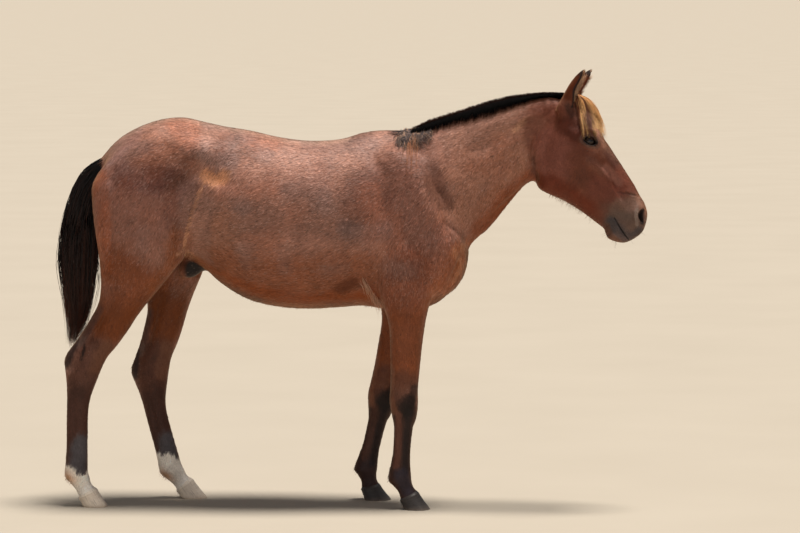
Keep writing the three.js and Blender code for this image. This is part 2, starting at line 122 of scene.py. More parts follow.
# Section rows: x and z of the upper (or front) edge, x and z of the lower (or rear) edge, width as a
# share of the part's width, y of the middle, how far the widest place is shifted toward the upper
# edge, and how full the upper and lower halves are: 2 is an ellipse, more is squarer.
ROW_DEFAULTS = (0, 0, 0, 0, 1, 0, 0, 2, 2)
TRUNK = read_rows("""
-872 1205 -872 1030 .2 0 0
-841 1254 -856 960 .46 0 0
-796 1293 -800 915 .64 0 0
-725 1329 -722 892 .79 0 0
-654 1349 -650 882 .86 0 .05
-584 1353 -580 872 .88 0 .05
-513 1338 -513 820 .88 0 0
-443 1323 -443 762 .92 0 -.05
-356 1309 -356 714 .97 0 -.1
-251 1286 -251 690 1 0 -.12
-146 1274 -146 684 1 0 -.12
-41 1280 -41 690 .96 0 -.12 1.9
46 1304 40 695 .89 0 -.15 1.75
133 1312 120 685 .81 0 -.15 1.65
220 1300 220 684 .75 0 -.1 1.7
295 1220 290 703 .7 0 0 2
345 1095 342 745 .62 0 0 2
380 975 377 810 .44 0 0 2
398 915 396 862 .2 0 0 2
""")
NECK = read_rows("""
165 1285 285 730 .88 0 -.1 1.75
208 1306 342 760 .92 0 -.1 1.8
252 1315 386 845 .88 0 -.12 1.8
307 1336 422 915 .72 0 -.12 1.8
377 1359 472 962 .57 0 -.1 1.85
446 1383 516 1012 .49 0 -.05 1.85
516 1402 558 1066 .44 0 0 1.85
585 1416 598 1114 .41 0 0 1.9
648 1424 634 1140 .385 0 0 2
705 1427 672 1160 .33 0 0 2
738 1412 705 1210 .2 0 0 2
""")
HEAD = read_rows("""
742 1428 690 1290 .42 0 .1
768 1420 655 1210 .7 0 .15
800 1391 640 1150 .86 0 .2
829 1352 655 1112 .95 0 .3 2.5 2.2
857 1306 692 1094 1 0 .38 2.7 2.2
888 1266 727 1075 .9 0 .3 2.4 2.2
912 1230 763 1055 .74 0 .15 2.2 2.2
936 1194 798 1033 .63 0 .05 2.1 2.2
959 1158 830 1010 .55 0 0 2.1 2.2
981 1124 858 989 .52 0 0 2.1 2.2
999 1090 877 974 .52 0 0 2.1 2.3
1016 1062 884 958 .55 0 .15 2.4 2.4
1026 1028 893 941 .55 0 .2 2.5 2.4
1023 998 917 929 .49 0 .1 2.3 2.4
1014 970 946 925 .41 0 0 2.3 2.3
1001 953 968 932 .25 0 0 2 2
""")
TAIL = read_rows("""
-845 1252 -800 1168 .48
-878 1219 -838 1140 .55
-915 1190 -864 1095 .68
-948 1159 -880 1045 .8
-977 1104 -888 1005 .9
-1005 1028 -888 950 .96
-1024 945 -888 890 1
-1035 850 -889 820 1
-1029 760 -896 750 .92
-1021 680 -907 685 .8
-1012 620 -924 635 .62
-1004 565 -950 590 .42
-996 535 -975 548 .2
""")

# Leg joints: shoulder blade (or croup), shoulder (or hip), elbow (or stifle), knee (or hock), fetlock
# and coronet: x, y as a distance from the middle, and z.
LEG_JOINTS = {"fore": {
    "left": [(0.220, 0.112, 1.100), (0.200, 0.116, 0.900), (0.172, 0.122, 0.720),
             (0.096, 0.120, 0.370), (0.040, 0.118, 0.112), (0.054, 0.118, 0.042)],
    "right": [(0.240, 0.112, 1.100), (0.222, 0.116, 0.900), (0.198, 0.122, 0.720),
              (0.190, 0.120, 0.375), (0.176, 0.118, 0.112), (0.207, 0.118, 0.042)],
}, "hind": {
    "left": [(-0.672, 0.078, 1.270), (-0.682, 0.112, 1.110), (-0.641, 0.128, 0.850),
             (-0.722, 0.123, 0.450), (-0.655, 0.121, 0.106), (-0.606, 0.121, 0.042)],
    "right": [(-0.680, 0.078, 1.270), (-0.690, 0.112, 1.110), (-0.732, 0.128, 0.850),
              (-0.922, 0.123, 0.500), (-0.954, 0.121, 0.116), (-0.916, 0.121, 0.042)],
}}
# Leg sections: place along the joints, distance to the front edge and to the rear edge, half width,
# then how full the front and rear halves are.
LEG_ROWS = {"fore": read_rows("""
0 60 58 40
.5 92 96 60
1 108 112 68
1.4 108 112 70
1.8 92 100 68
2 84 88 66
2.15 73 70 61 2 2.1
2.3 66 58 55 2 2.1
2.5 59 54 49 2 2.1
2.7 54 51 45 2 2.1
2.86 50 51 43 2.3 2.1
3 51 52 44 2.6 2.1
3.12 51 46 42 2.5 2
3.25 47 37 36 2.2 2
3.36 39 32 29 2 2
3.65 35 32 25 2 2
3.82 36 38 28 2 2
4 42 44 34 2.1 2.1
4.28 35 39 30 2.1 2.1
4.62 31 29 28 2 2.1
5 37 32 36 2 2.3
""", 1, 4), "hind": read_rows("""
0 90 80 40
.5 172 160 84
1 195 203 106
1.25 196 199 108
1.5 182 186 104
1.75 155 170 96
2 121 151 85
2.15 110 114 76
2.3 97 81 67
2.45 87 61 59
2.6 82 60 53 2 1.9
2.75 74 64 47 2 1.8
2.88 63 71 43 2.1 1.8
3 63 75 42 2.2 1.8
3.1 52 71 41 2.2 1.9
3.2 41 63 38 2.2 1.9
3.32 30 57 32 2.1 1.9
3.45 27 54 28 2 1.9
3.6 30 50 27 2 2
3.75 34 46 29 2 2
3.88 38 45 34 2.1 2
4 42 45 36 2.1 2.1
4.32 36 40 32 2.1 2.1
4.66 31 32 29 2 2.1
5 37 33 37 2 2.3
""", 1, 4)}

# Hooves: how far the toe and the heel stand forward of the coronet, and half the sole's width.
HOOF_RUNS = {
    ("fore", "left"): (0.038, 0.012), ("fore", "right"): (0.040, 0.012),
    ("hind", "left"): (0.050, 0.016), ("hind", "right"): (0.038, 0.014),
}
SOLE_HALF = {"fore": 0.050, "hind": 0.047}

# Rounded masses under the skin: centre x, y (from the middle), z, three radii, the turn about the
# side-to-side axis in degrees (nose down is positive), and how wide the blend into the body is.
MASSES = {
    "shoulder_blade": (0.232, 0.092, 1.050, 0.100, 0.080, 0.215, -28, 0.050),
    "upper_arm": (0.240, 0.098, 0.862, 0.155, 0.082, 0.096, -25, 0.050),
    "breast": (0.322, 0.066, 0.850, 0.074, 0.084, 0.100, 0, 0.040),
    "hip_point": (-0.505, 0.118, 1.226, 0.090, 0.062, 0.060, 20, 0.060),
    "brow": (0.834, 0.050, 1.288, 0.050, 0.038, 0.032, 58, 0.030),
    "jaw": (0.728, 0.028, 1.170, 0.076, 0.038, 0.084, 20, 0.040),
}
SHEATH = (-0.560, 0.0, 0.836, 0.058, 0.038, 0.042, -40, 0.030)
EYE = (0.826, 0.072, 1.277)
EARS = {
    "left": ((0.746, 0.040, 1.392), (0.832, 0.062, 1.517)),
    "right": ((0.742, 0.040, 1.392), (0.812, 0.060, 1.520)),
}
EAR_WALL = 0.0068
EAR_TURN = {"left": 16, "right": 16}

# The voxel space: the head is magnified so that the same voxel is finer there.
VOXEL = 0.0075
ZOOM = 3.0
ZOOM_START = 0.46
ZOOM_FULL = 0.70
ZOOM_Z = 1.26
BAND = 11
SKIN_TRIANGLES = 190000


# ---------------------------------------------------------------- curves and surfaces
def catmull_rom(table, per):
    """Rows of a table carried along one smooth curve, with per steps between two rows: each column is a
    cubic whose slope at a row is half the step from the row before to the row after."""
    rows = np.array(table, float)
    last = len(rows) - 1
    t = np.linspace(0, last, last * per + 1)
    i = np.minimum(t.astype(int), last - 1)
    u = (t - i)[:, None]
    before = rows[np.maximum(i - 1, 0)]
    after = rows[np.minimum(i + 2, last)]
    start, end = rows[i], rows[i + 1]
    slope_a = (end - before) / 2
    slope_b = (after - start) / 2
    rise = end - start
    return start + u * (slope_a + u * (3 * rise - 2 * slope_a - slope_b + u * (slope_a + slope_b - 2 * rise)))


def filled(table):
    """Rows with the columns that they leave out."""
    return [list(row) + list(ROW_DEFAULTS[len(row):]) for row in table]


def rounded(angle, upper, lower):
    """Along and across for an angle round a section: its cosine and sine, each raised to a power that
    sets how full the upper or the lower half is."""
    c, s = np.cos(angle), np.sin(angle)
    power = 2 / np.where(c > 0, upper, lower)
    return np.sign(c) * np.abs(c) ** power, np.sign(s) * np.abs(s) ** power


def in_section(row, place, across, width):
    """Points in a section: place runs from its lower edge (-1) to the upper (1), across from the right
    (-1) to the left (1)."""
    ax, az, bx, bz, share, y = row[:6]
    x = (ax + bx) / 2 + (ax - bx) / 2 * place
    z = (az + bz) / 2 + (az - bz) / 2 * place
    return np.stack([x, y + width * share / 2 * across, z], -1)


def loft(table, width, per=6, sides=64):
    """A grid of points over section rows, each a rounded outline between its two edges, whose widest
    place is shifted toward the upper one."""
    row = catmull_rom(filled(table), per).T[:, :, None]
    shift, upper, lower = row[6:]
    along, across = rounded(np.linspace(0, 2 * np.pi, sides, endpoint=False)[None, :], upper, lower)
    place = shift + np.where(along > 0, 1 - shift, 1 + shift) * along
    return in_section(row, place, across, width)


def leg_rows(joints, profile, side):
    """Leg sections as section rows: each is square to the leg, and at a joint it halves the bend."""
    joints = np.array(joints)
    step = np.diff(joints, axis=0)
    slope = np.arctan2(step[:, 0], -step[:, 2])
    bend = (slope[np.maximum(np.arange(6) - 1, 0)] + slope[np.minimum(np.arange(6), 4)]) / 2
    out = []
    for place, front, rear, half, *full in profile:
        i = min(int(place), 4)
        t = place - i
        x, y, z = joints[i] + t * (joints[i + 1] - joints[i])
        angle = bend[i] + t * (bend[i + 1] - bend[i])
        dx, dz = math.cos(angle), math.sin(angle)
        ends = [x + front * dx, z + front * dz, x - rear * dx, z - rear * dz]
        out.append(ends + [half / (LEG_WIDTH / 2), side * y, 0] + (full or [2, 2]))
    return out


def ball(mass, side=1.0, sides=28):
    """An ellipsoid turned about the side-to-side axis, as rings from one pole to the other."""
    x, y, z, rx, ry, rz, tilt = mass[:7]
    polar = np.linspace(0.02, np.pi - 0.02, sides // 2)[:, None]
    angle = np.linspace(0, 2 * np.pi, sides, endpoint=False)[None, :]
    px = rx * np.sin(polar) * np.cos(angle)
    py = ry * np.sin(polar) * np.sin(angle)
    pz = rz * np.cos(polar) + 0 * angle
    turn = math.radians(tilt)
    c, s = math.cos(turn), math.sin(turn)
    return np.stack([x + px * c + pz * s, y * side + py, z - px * s + pz * c], -1)


def smooth_step(value, low, high):
    """Zero below low, one above high, an S between."""
    t = np.clip((value - low) / (high - low), 0, 1)
    return t * t * (3 - 2 * t)


def unit(v):
    """Vectors brought to length one."""
    return v / np.maximum(np.linalg.norm(v, axis=-1, keepdims=True), 1e-12)


def ear_frame(name):
    """Foot, tip, the way the opening faces and the way across it, for one ear."""
    side = SIDES[name]
    foot, tip = (np.array([p[0], p[1] * side, p[2]]) for p in EARS[name])
    axis = unit(tip - foot)
    turn = math.radians(EAR_TURN[name]) * side
    facing = np.array([math.cos(turn), math.sin(turn), 0.0])
    facing = unit(facing - axis * (facing @ axis))
    return foot, tip, facing, np.cross(axis, facing)


def ear_section(u):
    """Half width and half angle of an ear's roll at a share of its length: the width swells above the
    base, then runs to a point, and the roll opens as it rises."""
    share = np.clip(u, 0, 1)
    swell = EAR_WIDTH / 2 * np.maximum(1 - 0.985 * share, 0.0) ** 0.6 * (0.8 + 1.05 * share)
    return swell, np.radians(172 - 62 * smooth_step(u, 0.06, 0.55))


def ear(name):
    """An ear as a rolled sheet. At each place along its axis the section is an arc that opens toward the
    way the ear faces, with an inner arc one wall thinner."""
    foot, tip, facing, across = ear_frame(name)
    u = np.linspace(-0.14, 1.0, 36)[:, None]
    swell, roll = ear_section(u)
    inner = swell - np.minimum(EAR_WALL, swell * 0.85)
    turn = np.linspace(-1, 1, 26)[None, :]
    c = np.concatenate([np.cos(turn * roll) * swell, np.cos(-turn * roll) * inner], 1)[..., None]
    s = np.concatenate([np.sin(turn * roll) * swell, np.sin(-turn * roll) * inner], 1)[..., None]
    middle = foot + u * (tip - foot)
    return middle[:, None, :] - facing * c * 1.05 + across * s


def outward(faces, points):
    """Faces turned over where the whole shape is inside out, which its volume's sign tells."""
    corner = points[faces]
    volume = np.einsum("ij,ij->i", corner[:, 0], np.cross(corner[:, 1], corner[:, 2])).sum()
    return faces if volume > 0 else faces[:, ::-1]


def closed(grid):
    """Points and triangles of a grid of rings, each end closed by a fan to its middle."""
    rings, sides = grid.shape[:2]
    points = np.concatenate([grid.reshape(-1, 3), grid[0].mean(0)[None], grid[-1].mean(0)[None]])
    r, i = np.meshgrid(np.arange(rings - 1), np.arange(sides), indexing="ij")
    a = (r * sides + i).ravel()
    b = (r * sides + (i + 1) % sides).ravel()
    quads = [np.stack([a, b, a + sides], 1), np.stack([b, b + sides, a + sides], 1)]
    rim = np.arange(sides)
    after = (rim + 1) % sides
    low = np.full(sides, rings * sides)
    top = (rings - 1) * sides
    fans = [np.stack([low, after, rim], 1), np.stack([low + 1, top + rim, top + after], 1)]
    return points, outward(np.concatenate(quads + fans), points)


# ---------------------------------------------------------------- the voxel space
def zoom_at(x):
    """Magnification at x: one behind the neck, then a smooth step up to the head's."""
    t = np.clip((x - ZOOM_START) / (ZOOM_FULL - ZOOM_START), 0, 1)
    return 1 + (ZOOM - 1) * t * t * (3 - 2 * t)


def zoom_run(x):
    """The integral of the magnification along x."""
    span = ZOOM_FULL - ZOOM_START
    t = np.clip((x - ZOOM_START) / span, 0, 1)
    past = np.maximum(x - ZOOM_FULL, 0)
    return x + (ZOOM - 1) * (span * (t ** 3 - t ** 4 / 2) + past)


ZOOM_TABLE_X = np.linspace(-1.2, 1.2, 4801)
ZOOM_TABLE = zoom_run(ZOOM_TABLE_X)


def magnified(p):
    """Points carried into the voxel space."""
    m = zoom_at(p[..., 0])
    return np.stack([zoom_run(p[..., 0]), p[..., 1] * m, ZOOM_Z + (p[..., 2] - ZOOM_Z) * m], -1)


def demagnified(p):
    """Points carried back out of the voxel space."""
    x = np.interp(p[..., 0], ZOOM_TABLE, ZOOM_TABLE_X)
    m = zoom_at(x)
    return np.stack([x, p[..., 1] / m, ZOOM_Z + (p[..., 2] - ZOOM_Z) / m], -1)


def turned(p):
    """The sideways turn of the head and neck: none, then a growing slope, then a steady one."""
    span = TURN_FULL - TURN_START
    run = np.clip(p[..., 0] - TURN_START, 0, span)
    past = np.maximum(p[..., 0] - TURN_FULL, 0)
    out = p.copy()
    out[..., 1] -= TURN_SLOPE * (run * run / (2 * span) + past)
    return out


GRID_LOW = np.array([-1.01, -0.315, 0.0])
GRID_HIGH = np.array([float(zoom_run(np.array(1.05))), 0.315, 2.09])
GRID_FIRST = tuple(int(v) for v in np.floor(GRID_LOW / VOXEL))
GRID_SIZE = tuple(int(v) for v in np.ceil((GRID_HIGH - GRID_LOW) / VOXEL))


def distance(grid):
    """Signed distance to a closed grid of rings, at every voxel."""
    points, faces = closed(magnified(grid))
    level = vdb.FloatGrid.createLevelSetFromPolygons(
        points.astype(np.float32), triangles=faces.astype(np.uint32),
        transform=vdb.createLinearTransform(voxelSize=VOXEL), halfWidth=float(BAND))
    field = np.empty(GRID_SIZE, np.float32)
    level.copyToArray(field, ijk=GRID_FIRST)
    return field


def blend_in(body, part, width):
    """Joins a part to the body, in place: the lesser distance, less a rounding where the two are closer
    than the blend's width."""
    near = np.maximum(width - np.abs(body - part), 0)
    np.minimum(body, part, out=body)
    body -= near * near / (4 * width)


def carve(body, part, width):
    """Takes a part off the body, in place, with a rounded rim."""
    near = np.maximum(width - np.abs(body + part), 0)
    np.maximum(body, -part, out=body)
    body += near * near / (4 * width)

# ---------------------------------------------------------------- relief of muscle, bone and fold
# On both sides of the body: a name, how far the stroke reaches to either side of its line, how much it
# raises (or, below zero, sinks) the skin, and the places (x, z) of the line over the side.
BODY_STROKES = read_strokes("""
front edge of the shoulder: 60 -7.5: 266 1218  301 1136  335 1063  366 984  394 915
ridge of the shoulder blade: 44 3.5: 203 1213  248 1103  303 1000  352 918
hollow behind the ridge: 50 -2.5: 165 1200  200 1100  245 1000
rear edge of the upper arm: 34 -8.5: 133 1145  109 1001  82 880
upper arm muscle: 60 6: 165 1020  175 900  165 820
girth behind the elbow: 40 -15: 50 860  66 790  95 720
elbow: 30 7: 118 835  132 770
edge between arm and breast: 22 -14: 404 912  374 825  336 756
line over the upper arm: 28 -5.5: 180 966  266 863  283 759
point of the shoulder: 55 6: 345 930
hollow of the flank: 80 -12: -440 1190  -470 1110
point of the hip: 50 6: -490 1238
fold of the flank: 16 8.5: -494 1150  -514 1070  -536 1008  -556 950  -566 900
groove before the flank fold: 34 -8.5: -462 1075  -492 990  -525 915
front of the thigh: 60 6: -590 1080  -615 950  -600 860
groove of the thigh: 24 -6.5: -812 1142  -823 1021  -817 899  -797 790
line under the hip: 40 -7.5: -507 1205  -591 1109  -647 991
hollow of the croup: 50 -7: -586 1288  -691 1253
rib 1: 26 .6: -291 1180  -305 1025  -286 863
rib 2: 26 .8: -215 1180  -229 1025  -213 843
rib 3: 26 .8: -139 1180  -154 1026  -143 830
rib 4: 26 .6: -64 1174  -74 1026  -71 837
rib 5: 26 .5: 12 1153  1 1026  1 865
hollow behind the withers: 70 -6: 123 1219  70 1180
jugular groove: 24 -10.5: 627 1138  554 1068  475 992  415 925
hollow under the crest: 38 -7: 589 1318  485 1265  375 1220
long muscle of the neck: 40 6.5: 616 1240  520 1140  430 1045
crest: 36 4: 639 1380  518 1345  387 1300
fold behind the poll: 16 -4.5: 700 1385  660 1350  640 1300
band under the mane: 14 3.5: 660 1372  600 1352  520 1318
crease before the shoulder: 20 -5.5: 276 1186  298 1130  326 1084  350 1044
crease at the foot of the neck: 14 -4.5: 330 1000  372 968  398 930
line of the spur vein: 14 1.6: -380 835  -230 800  -60 800
stifle: 45 6.5: -585 872
line over the stifle: 24 -4: -640 985  -610 900  -640 830
upper neck muscle: 36 3: 640 1320  560 1270  470 1195
""")
HEAD_STROKES = read_strokes("""
groove behind the jaw: 15 -11: 680 1345  652 1298  632 1246  633 1191  645 1150
edge of the jaw: 18 4.5: 688 1300  662 1246  660 1190  680 1130  720 1105
cheek: 55 4: 712 1235  722 1185
front of the cheek: 18 -6: 806 1200  783 1144  752 1100
facial crest: 15 7.8: 806 1236  834 1208  872 1172  892 1150
hollow under the facial crest: 20 -5.5: 812 1196  846 1160  872 1130
hollow over the eye: 22 -7.5: 788 1330  800 1338
rim over the eye: 9 5.2: 792 1304  806 1316  824 1320  843 1313  858 1296
arch behind the eye: 20 3: 734 1325  768 1308  794 1290
groove under the arch: 20 -2: 745 1300  775 1282
edge of the nose bone: 16 3.6: 868 1262  915 1180  958 1112
hollow beside the nose: 22 -7.8: 878 1205  915 1135  940 1086
muscle to the upper lip: 13 3.6: 885 1160  925 1080  958 1030
upper lid fold: 4.2 -3: 798 1296  811 1306  828 1308  848 1298
second lid fold: 4.2 -2.4: 800 1303  815 1312.5  832 1313.5  850 1304.5
lower lid fold: 4.6 -2.8: 803 1260  818 1248  838 1244  856 1250
wrinkle over the nostril: 4.5 -2.2: 923 1102  961 1097  995 1085
roll over the wrinkle: 5.5 1.4: 923 1110  961 1105  995 1094
mouth: 4 -6.6: 914 1010  920 1001  936 977  953 950  963 937
lower lip: 10 3: 921 984  938 957  950 938
upper lip: 16 3.5: 938 992  958 962  975 945
corner of the mouth: 10 -2.6: 903 1018  912 1008
chin groove: 12 -5: 880 984  892 992
chin: 24 4: 905 950
wing of the nostril: 9 4.6: 992 1050  984 1032  983 1012  991 990
front rim of the nostril: 8 3: 1014 1048  1022 1025  1019 998  1005 984
base of the ear: 36 4: 744 1372
""")
# On the legs a place is how far along the joints, then the distance ahead of the middle line.
LEG_STROKES = {"fore": read_strokes("""
groove of the forearm: 13 -3.5: 2.05 4  2.4 -4  2.75 -6
forearm muscle: 30 3.5: 2.05 34  2.35 26
rear forearm muscle: 24 3: 2.05 -34  2.35 -30
knee: 24 3.5: 2.93 10  3.08 10
line across the knee: 7 -1.8: 3.02 -18  3.02 34
bone behind the knee: 16 4: 2.97 -36
groove of the tendon: 8.5 -4.5: 3.14 -10  3.45 -7  3.86 -6
tendon: 9 2: 3.14 -24  3.5 -21  3.86 -24
fetlock: 20 3.5: 4.02 -18
groove of the pastern: 11 -3: 4.2 -10  4.8 -12
""", float), "hind": read_strokes("""
gaskin muscle: 45 6: 2 30  2.35 30  2.6 30
rear gaskin muscle: 34 4: 2.02 -50  2.25 -35
hollow before the hamstring: 21 -12: 2.36 -22  2.6 -26  2.86 -38
point of the hock: 20 4: 2.9 -62  3 -66
hock: 26 3.5: 2.98 20  3.1 10
line down the hock: 11 -2.5: 2.92 -4  3.08 -20
groove of the tendon: 10 -5.5: 3.16 -22  3.45 -20  3.88 -12
tendon: 11 2: 3.2 -46  3.5 -40  3.85 -34
fetlock: 22 3.5: 4.02 -18
groove of the pastern: 11 -3: 4.2 -10  4.8 -12
""", float)}

COAT_DEPTH = 0.0030
SMOOTH_ROUNDS = 14
CORONET_BELOW = 5.22  # the leg's last section, hidden inside the hoof


def to_line(p, line):
    """Distance from 2-D points to the nearest place on a line of points, and how far along it that
    place is, from zero to one."""
    line = np.array(line, float)
    if len(line) == 1:
        return np.linalg.norm(p - line[0], axis=1), np.full(len(p), 0.5)
    best = np.full(len(p), np.inf)
    along = np.zeros(len(p))
    for i, (a, b) in enumerate(zip(line[:-1], line[1:])):
        t = np.clip(((p - a) @ (b - a)) / ((b - a) @ (b - a)), 0, 1)
        away = np.linalg.norm(p - a - t[:, None] * (b - a), axis=1)
        along = np.where(away < best, (i + t) / (len(line) - 1), along)
        best = np.minimum(best, away)
    return best, along


def stroke(p, line, reach, rise):
    """A soft ridge along a line, or a groove below zero: a bell across it, lower toward its ends."""
    near = np.flatnonzero(np.abs(p - np.mean(line, 0)).max(1) < np.ptp(np.array(line), 0).max() + 2 * reach)
    out = np.zeros(len(p))
    away, along = to_line(p[near], line)
    taper = 1.0 if len(line) == 1 else 0.3 + 0.7 * np.sin(np.pi * along) ** 2
    out[near] = rise * taper * np.exp(-2.6 * (away / reach) ** 2)
    return out


def bell(distance_to, reach):
    """One at the middle, zero from the reach on, smooth at both."""
    t = np.clip(distance_to / reach, 0, 1)
    return (1 - t * t) ** 2


def leg_place(joints, t, ahead):
    """The (x, z) of a place along a leg's joints, so far ahead of its middle line."""
    joints = np.array(joints)
    i = min(int(t), 4)
    x, _, z = joints[i] + (t - i) * (joints[i + 1] - joints[i])
    step = joints[i + 1] - joints[i]
    slope = math.atan2(step[0], -step[2])
    return x + ahead * math.cos(slope), z + ahead * math.sin(slope)


def corner_normals(points, quads):
    """Smooth normals: the sum of the faces' cross products at each point."""
    a, b, c, d = (points[quads[:, i]] for i in range(4))
    face = np.cross(c - a, d - b)
    out = np.zeros_like(points)
    for i in range(4):
        for axis in range(3):
            out[:, axis] += np.bincount(quads[:, i], face[:, axis], len(points))
    return unit(out)


def neighbour_mean(points, quads, count):
    """The mean of each point's neighbours along the edges."""
    total = np.zeros_like(points)
    for i in range(4):
        here, there = quads[:, i], quads[:, (i + 1) % 4]
        for axis in range(3):
            total[:, axis] += np.bincount(here, points[there, axis], len(points))
            total[:, axis] += np.bincount(there, points[here, axis], len(points))
    return total / count[:, None]


def smoothed(points, quads, rounds, amount):
    """Relaxes points toward their neighbours and back by a little more, which rounds creases and keeps
    the bulk. Amount is a share for each point."""
    count = np.zeros(len(points))
    for i in range(4):
        count += 2 * np.bincount(quads[:, i], minlength=len(points))
    for k in range(rounds):
        pull = 0.62 if k % 2 == 0 else -0.64
        points = points + pull * amount[:, None] * (neighbour_mean(points, quads, count) - points)
    return points


# How wide each part's blend into the body is, and how round the rim of what is carved out.
NECK_BLEND = 0.020
LEG_BLEND = 0.024
EAR_BLEND = 0.024
LID_BLEND = 0.030
HEAD_BLEND = 0.080
DOCK_BLEND = 0.020
EYE_RIM = 0.004
NOSTRIL_RIM = 0.014
UNDER_HOOF = 0.92  # how much of the last section's size goes on inside the hoof


def flesh_field():
    """The signed distance to the whole body, with the eyes', ears' and nostrils' hollows."""
    body = distance(loft(TRUNK, BARREL_WIDTH))
    blend_in(body, distance(loft(NECK, NECK_WIDTH)), NECK_BLEND)
    for name, side in SIDES.items():
        for mass in MASSES.values():
            blend_in(body, distance(ball(mass, side)), mass[7])
        for kind, profile in LEG_ROWS.items():
            last = profile[-1]
            under = [[CORONET_BELOW, *(UNDER_HOOF * v for v in last[1:4]), *last[4:]]]
            grid = loft(leg_rows(LEG_JOINTS[kind][name], profile + under, side), LEG_WIDTH, sides=40)
            blend_in(body, distance(grid), LEG_BLEND)
        blend_in(body, distance(ear(name)), EAR_BLEND)
        blend_in(body, distance(ball(lid_ball(side))), LID_BLEND)
    blend_in(body, distance(ball(SHEATH)), SHEATH[7])
    blend_in(body, distance(loft(HEAD, HEAD_WIDTH)), HEAD_BLEND)
    blend_in(body, distance(loft(DOCK, TAIL_WIDTH)), DOCK_BLEND)
    for side in SIDES.values():
        carve(body, distance(eye_opening(side)), EYE_RIM)
        carve(body, distance(nostril(side)), NOSTRIL_RIM)
    return body


def lid_ball(side):
    """The mass of the lids: a little larger than the eye and around it."""
    x, y, z = EYE
    return (x, y * side - 0.001 * side, z, LID_RADIUS, LID_RADIUS, LID_RADIUS, 0)


LID_RADIUS = 0.0262
EYE_AIM = (0.30, 0.945, 0.10)
EYE_TILT = math.radians(-17)
EYE_HALF_LENGTH = 0.0225
EYE_RISE = 0.0155
EYE_DROP = 0.0135


def eye_middle(side):
    """The middle of an eye."""
    return np.array([EYE[0], EYE[1] * side, EYE[2]])


def eye_place(side, across, height, out):
    """Points by how far across, up and out of an eye they lie, along its own axes."""
    aim, long_way, up = eye_axes(side)
    return eye_middle(side) + aim * out + across[:, None] * long_way + height[:, None] * up


def lid_rise(height):
    """Half the height of an eye's opening, above or below its middle."""
    return np.where(height > 0, EYE_RISE, EYE_DROP)


def eye_axes(side):
    """Outward aim of an eye, the long way of its opening, toward the nose, and the way up."""
    aim = unit(np.array([EYE_AIM[0], EYE_AIM[1] * side, EYE_AIM[2]]))
    long_way = np.array([math.cos(EYE_TILT), 0.0, math.sin(EYE_TILT)])
    long_way = unit(long_way - aim * (long_way @ aim))
    up = np.cross(long_way, aim) * side
    return aim, long_way, unit(up * np.sign(up[2]))


def almond(angle, grow=0.0):
    """The opening between the lids, as two arcs: across and up for an angle round it."""
    across = (EYE_HALF_LENGTH + grow) * np.cos(angle)
    height = lid_rise(np.sin(angle)) + grow
    return across, height * np.sign(np.sin(angle)) * np.abs(np.sin(angle)) ** 1.25


# Rings of the hollow between the lids: how far out of the eye's middle, and how much wider than the opening.
OPENING_RINGS = ((0.0090, -0.0022), (0.0150, -0.0004), (0.0190, 0.0), (0.0225, 0.0010), (0.0300, 0.0036))


def eye_opening(side):
    """A closed almond carried outward from just under the eye's surface."""
    angle = np.linspace(0, 2 * np.pi, 40, endpoint=False)
    return np.array([eye_place(side, *almond(angle, grow), out) for out, grow in OPENING_RINGS])


def nostril(side):
    """A comma-shaped hollow that runs in and back from the front of the muzzle."""
    path = np.array([(1.030, 0.052, 1.016), (1.013, 0.040, 1.018), (0.996, 0.031, 1.022),
                     (0.980, 0.026, 1.028)])
    half = np.array([(0.0110, 0.0260), (0.0100, 0.0235), (0.0075, 0.0160), (0.0040, 0.0080)])
    inward = unit(path[-1] - path[0])
    up = unit(np.array([0.05, 0.10, 1.0]))
    across = unit(np.cross(inward, up))
    angle = np.linspace(0, 2 * np.pi, 28, endpoint=False)[:, None]
    rings = []
    for middle, (wide, tall) in zip(path, half):
        bend = 0.35 * wide * np.cos(2 * angle)
        ring = middle + across * (wide * np.cos(angle) + bend) + up * tall * np.sin(angle)
        rings.append(ring * np.array([1.0, side, 1.0]))
    return np.array(rings)


# The fleshy dock under the tail hair, as section rows of the tail.
DOCK = read_rows("""
-800 1268 -780 1180 .62
-850 1236 -815 1165 .6
-892 1196 -850 1135 .56
-922 1150 -878 1095 .5
-944 1090 -902 1050 .42
-955 1020 -922 995 .32
-958 960 -936 945 .16
""")


def strokes_raise(p, normal):
    """How far the strokes raise each point of the body along its normal."""
    flat = p[:, [0, 2]]
    height = np.zeros(len(p))
    facing = smooth_step(np.abs(normal[:, 1]), 0.12, 0.5)
    outer = smooth_step(np.sign(p[:, 1]) * normal[:, 1], -0.1, 0.35)
    for line, reach, rise in BODY_STROKES + HEAD_STROKES:
        height += stroke(flat, line, reach, rise) * outer
    for name, side in SIDES.items():
        here = facing * (p[:, 1] * side > 0)
        for kind, lines in LEG_STROKES.items():
            for line, reach, rise in lines:
                places = [leg_place(LEG_JOINTS[kind][name], t, ahead) for t, ahead in line]
                height += stroke(flat, places, reach, rise) * here
    return height


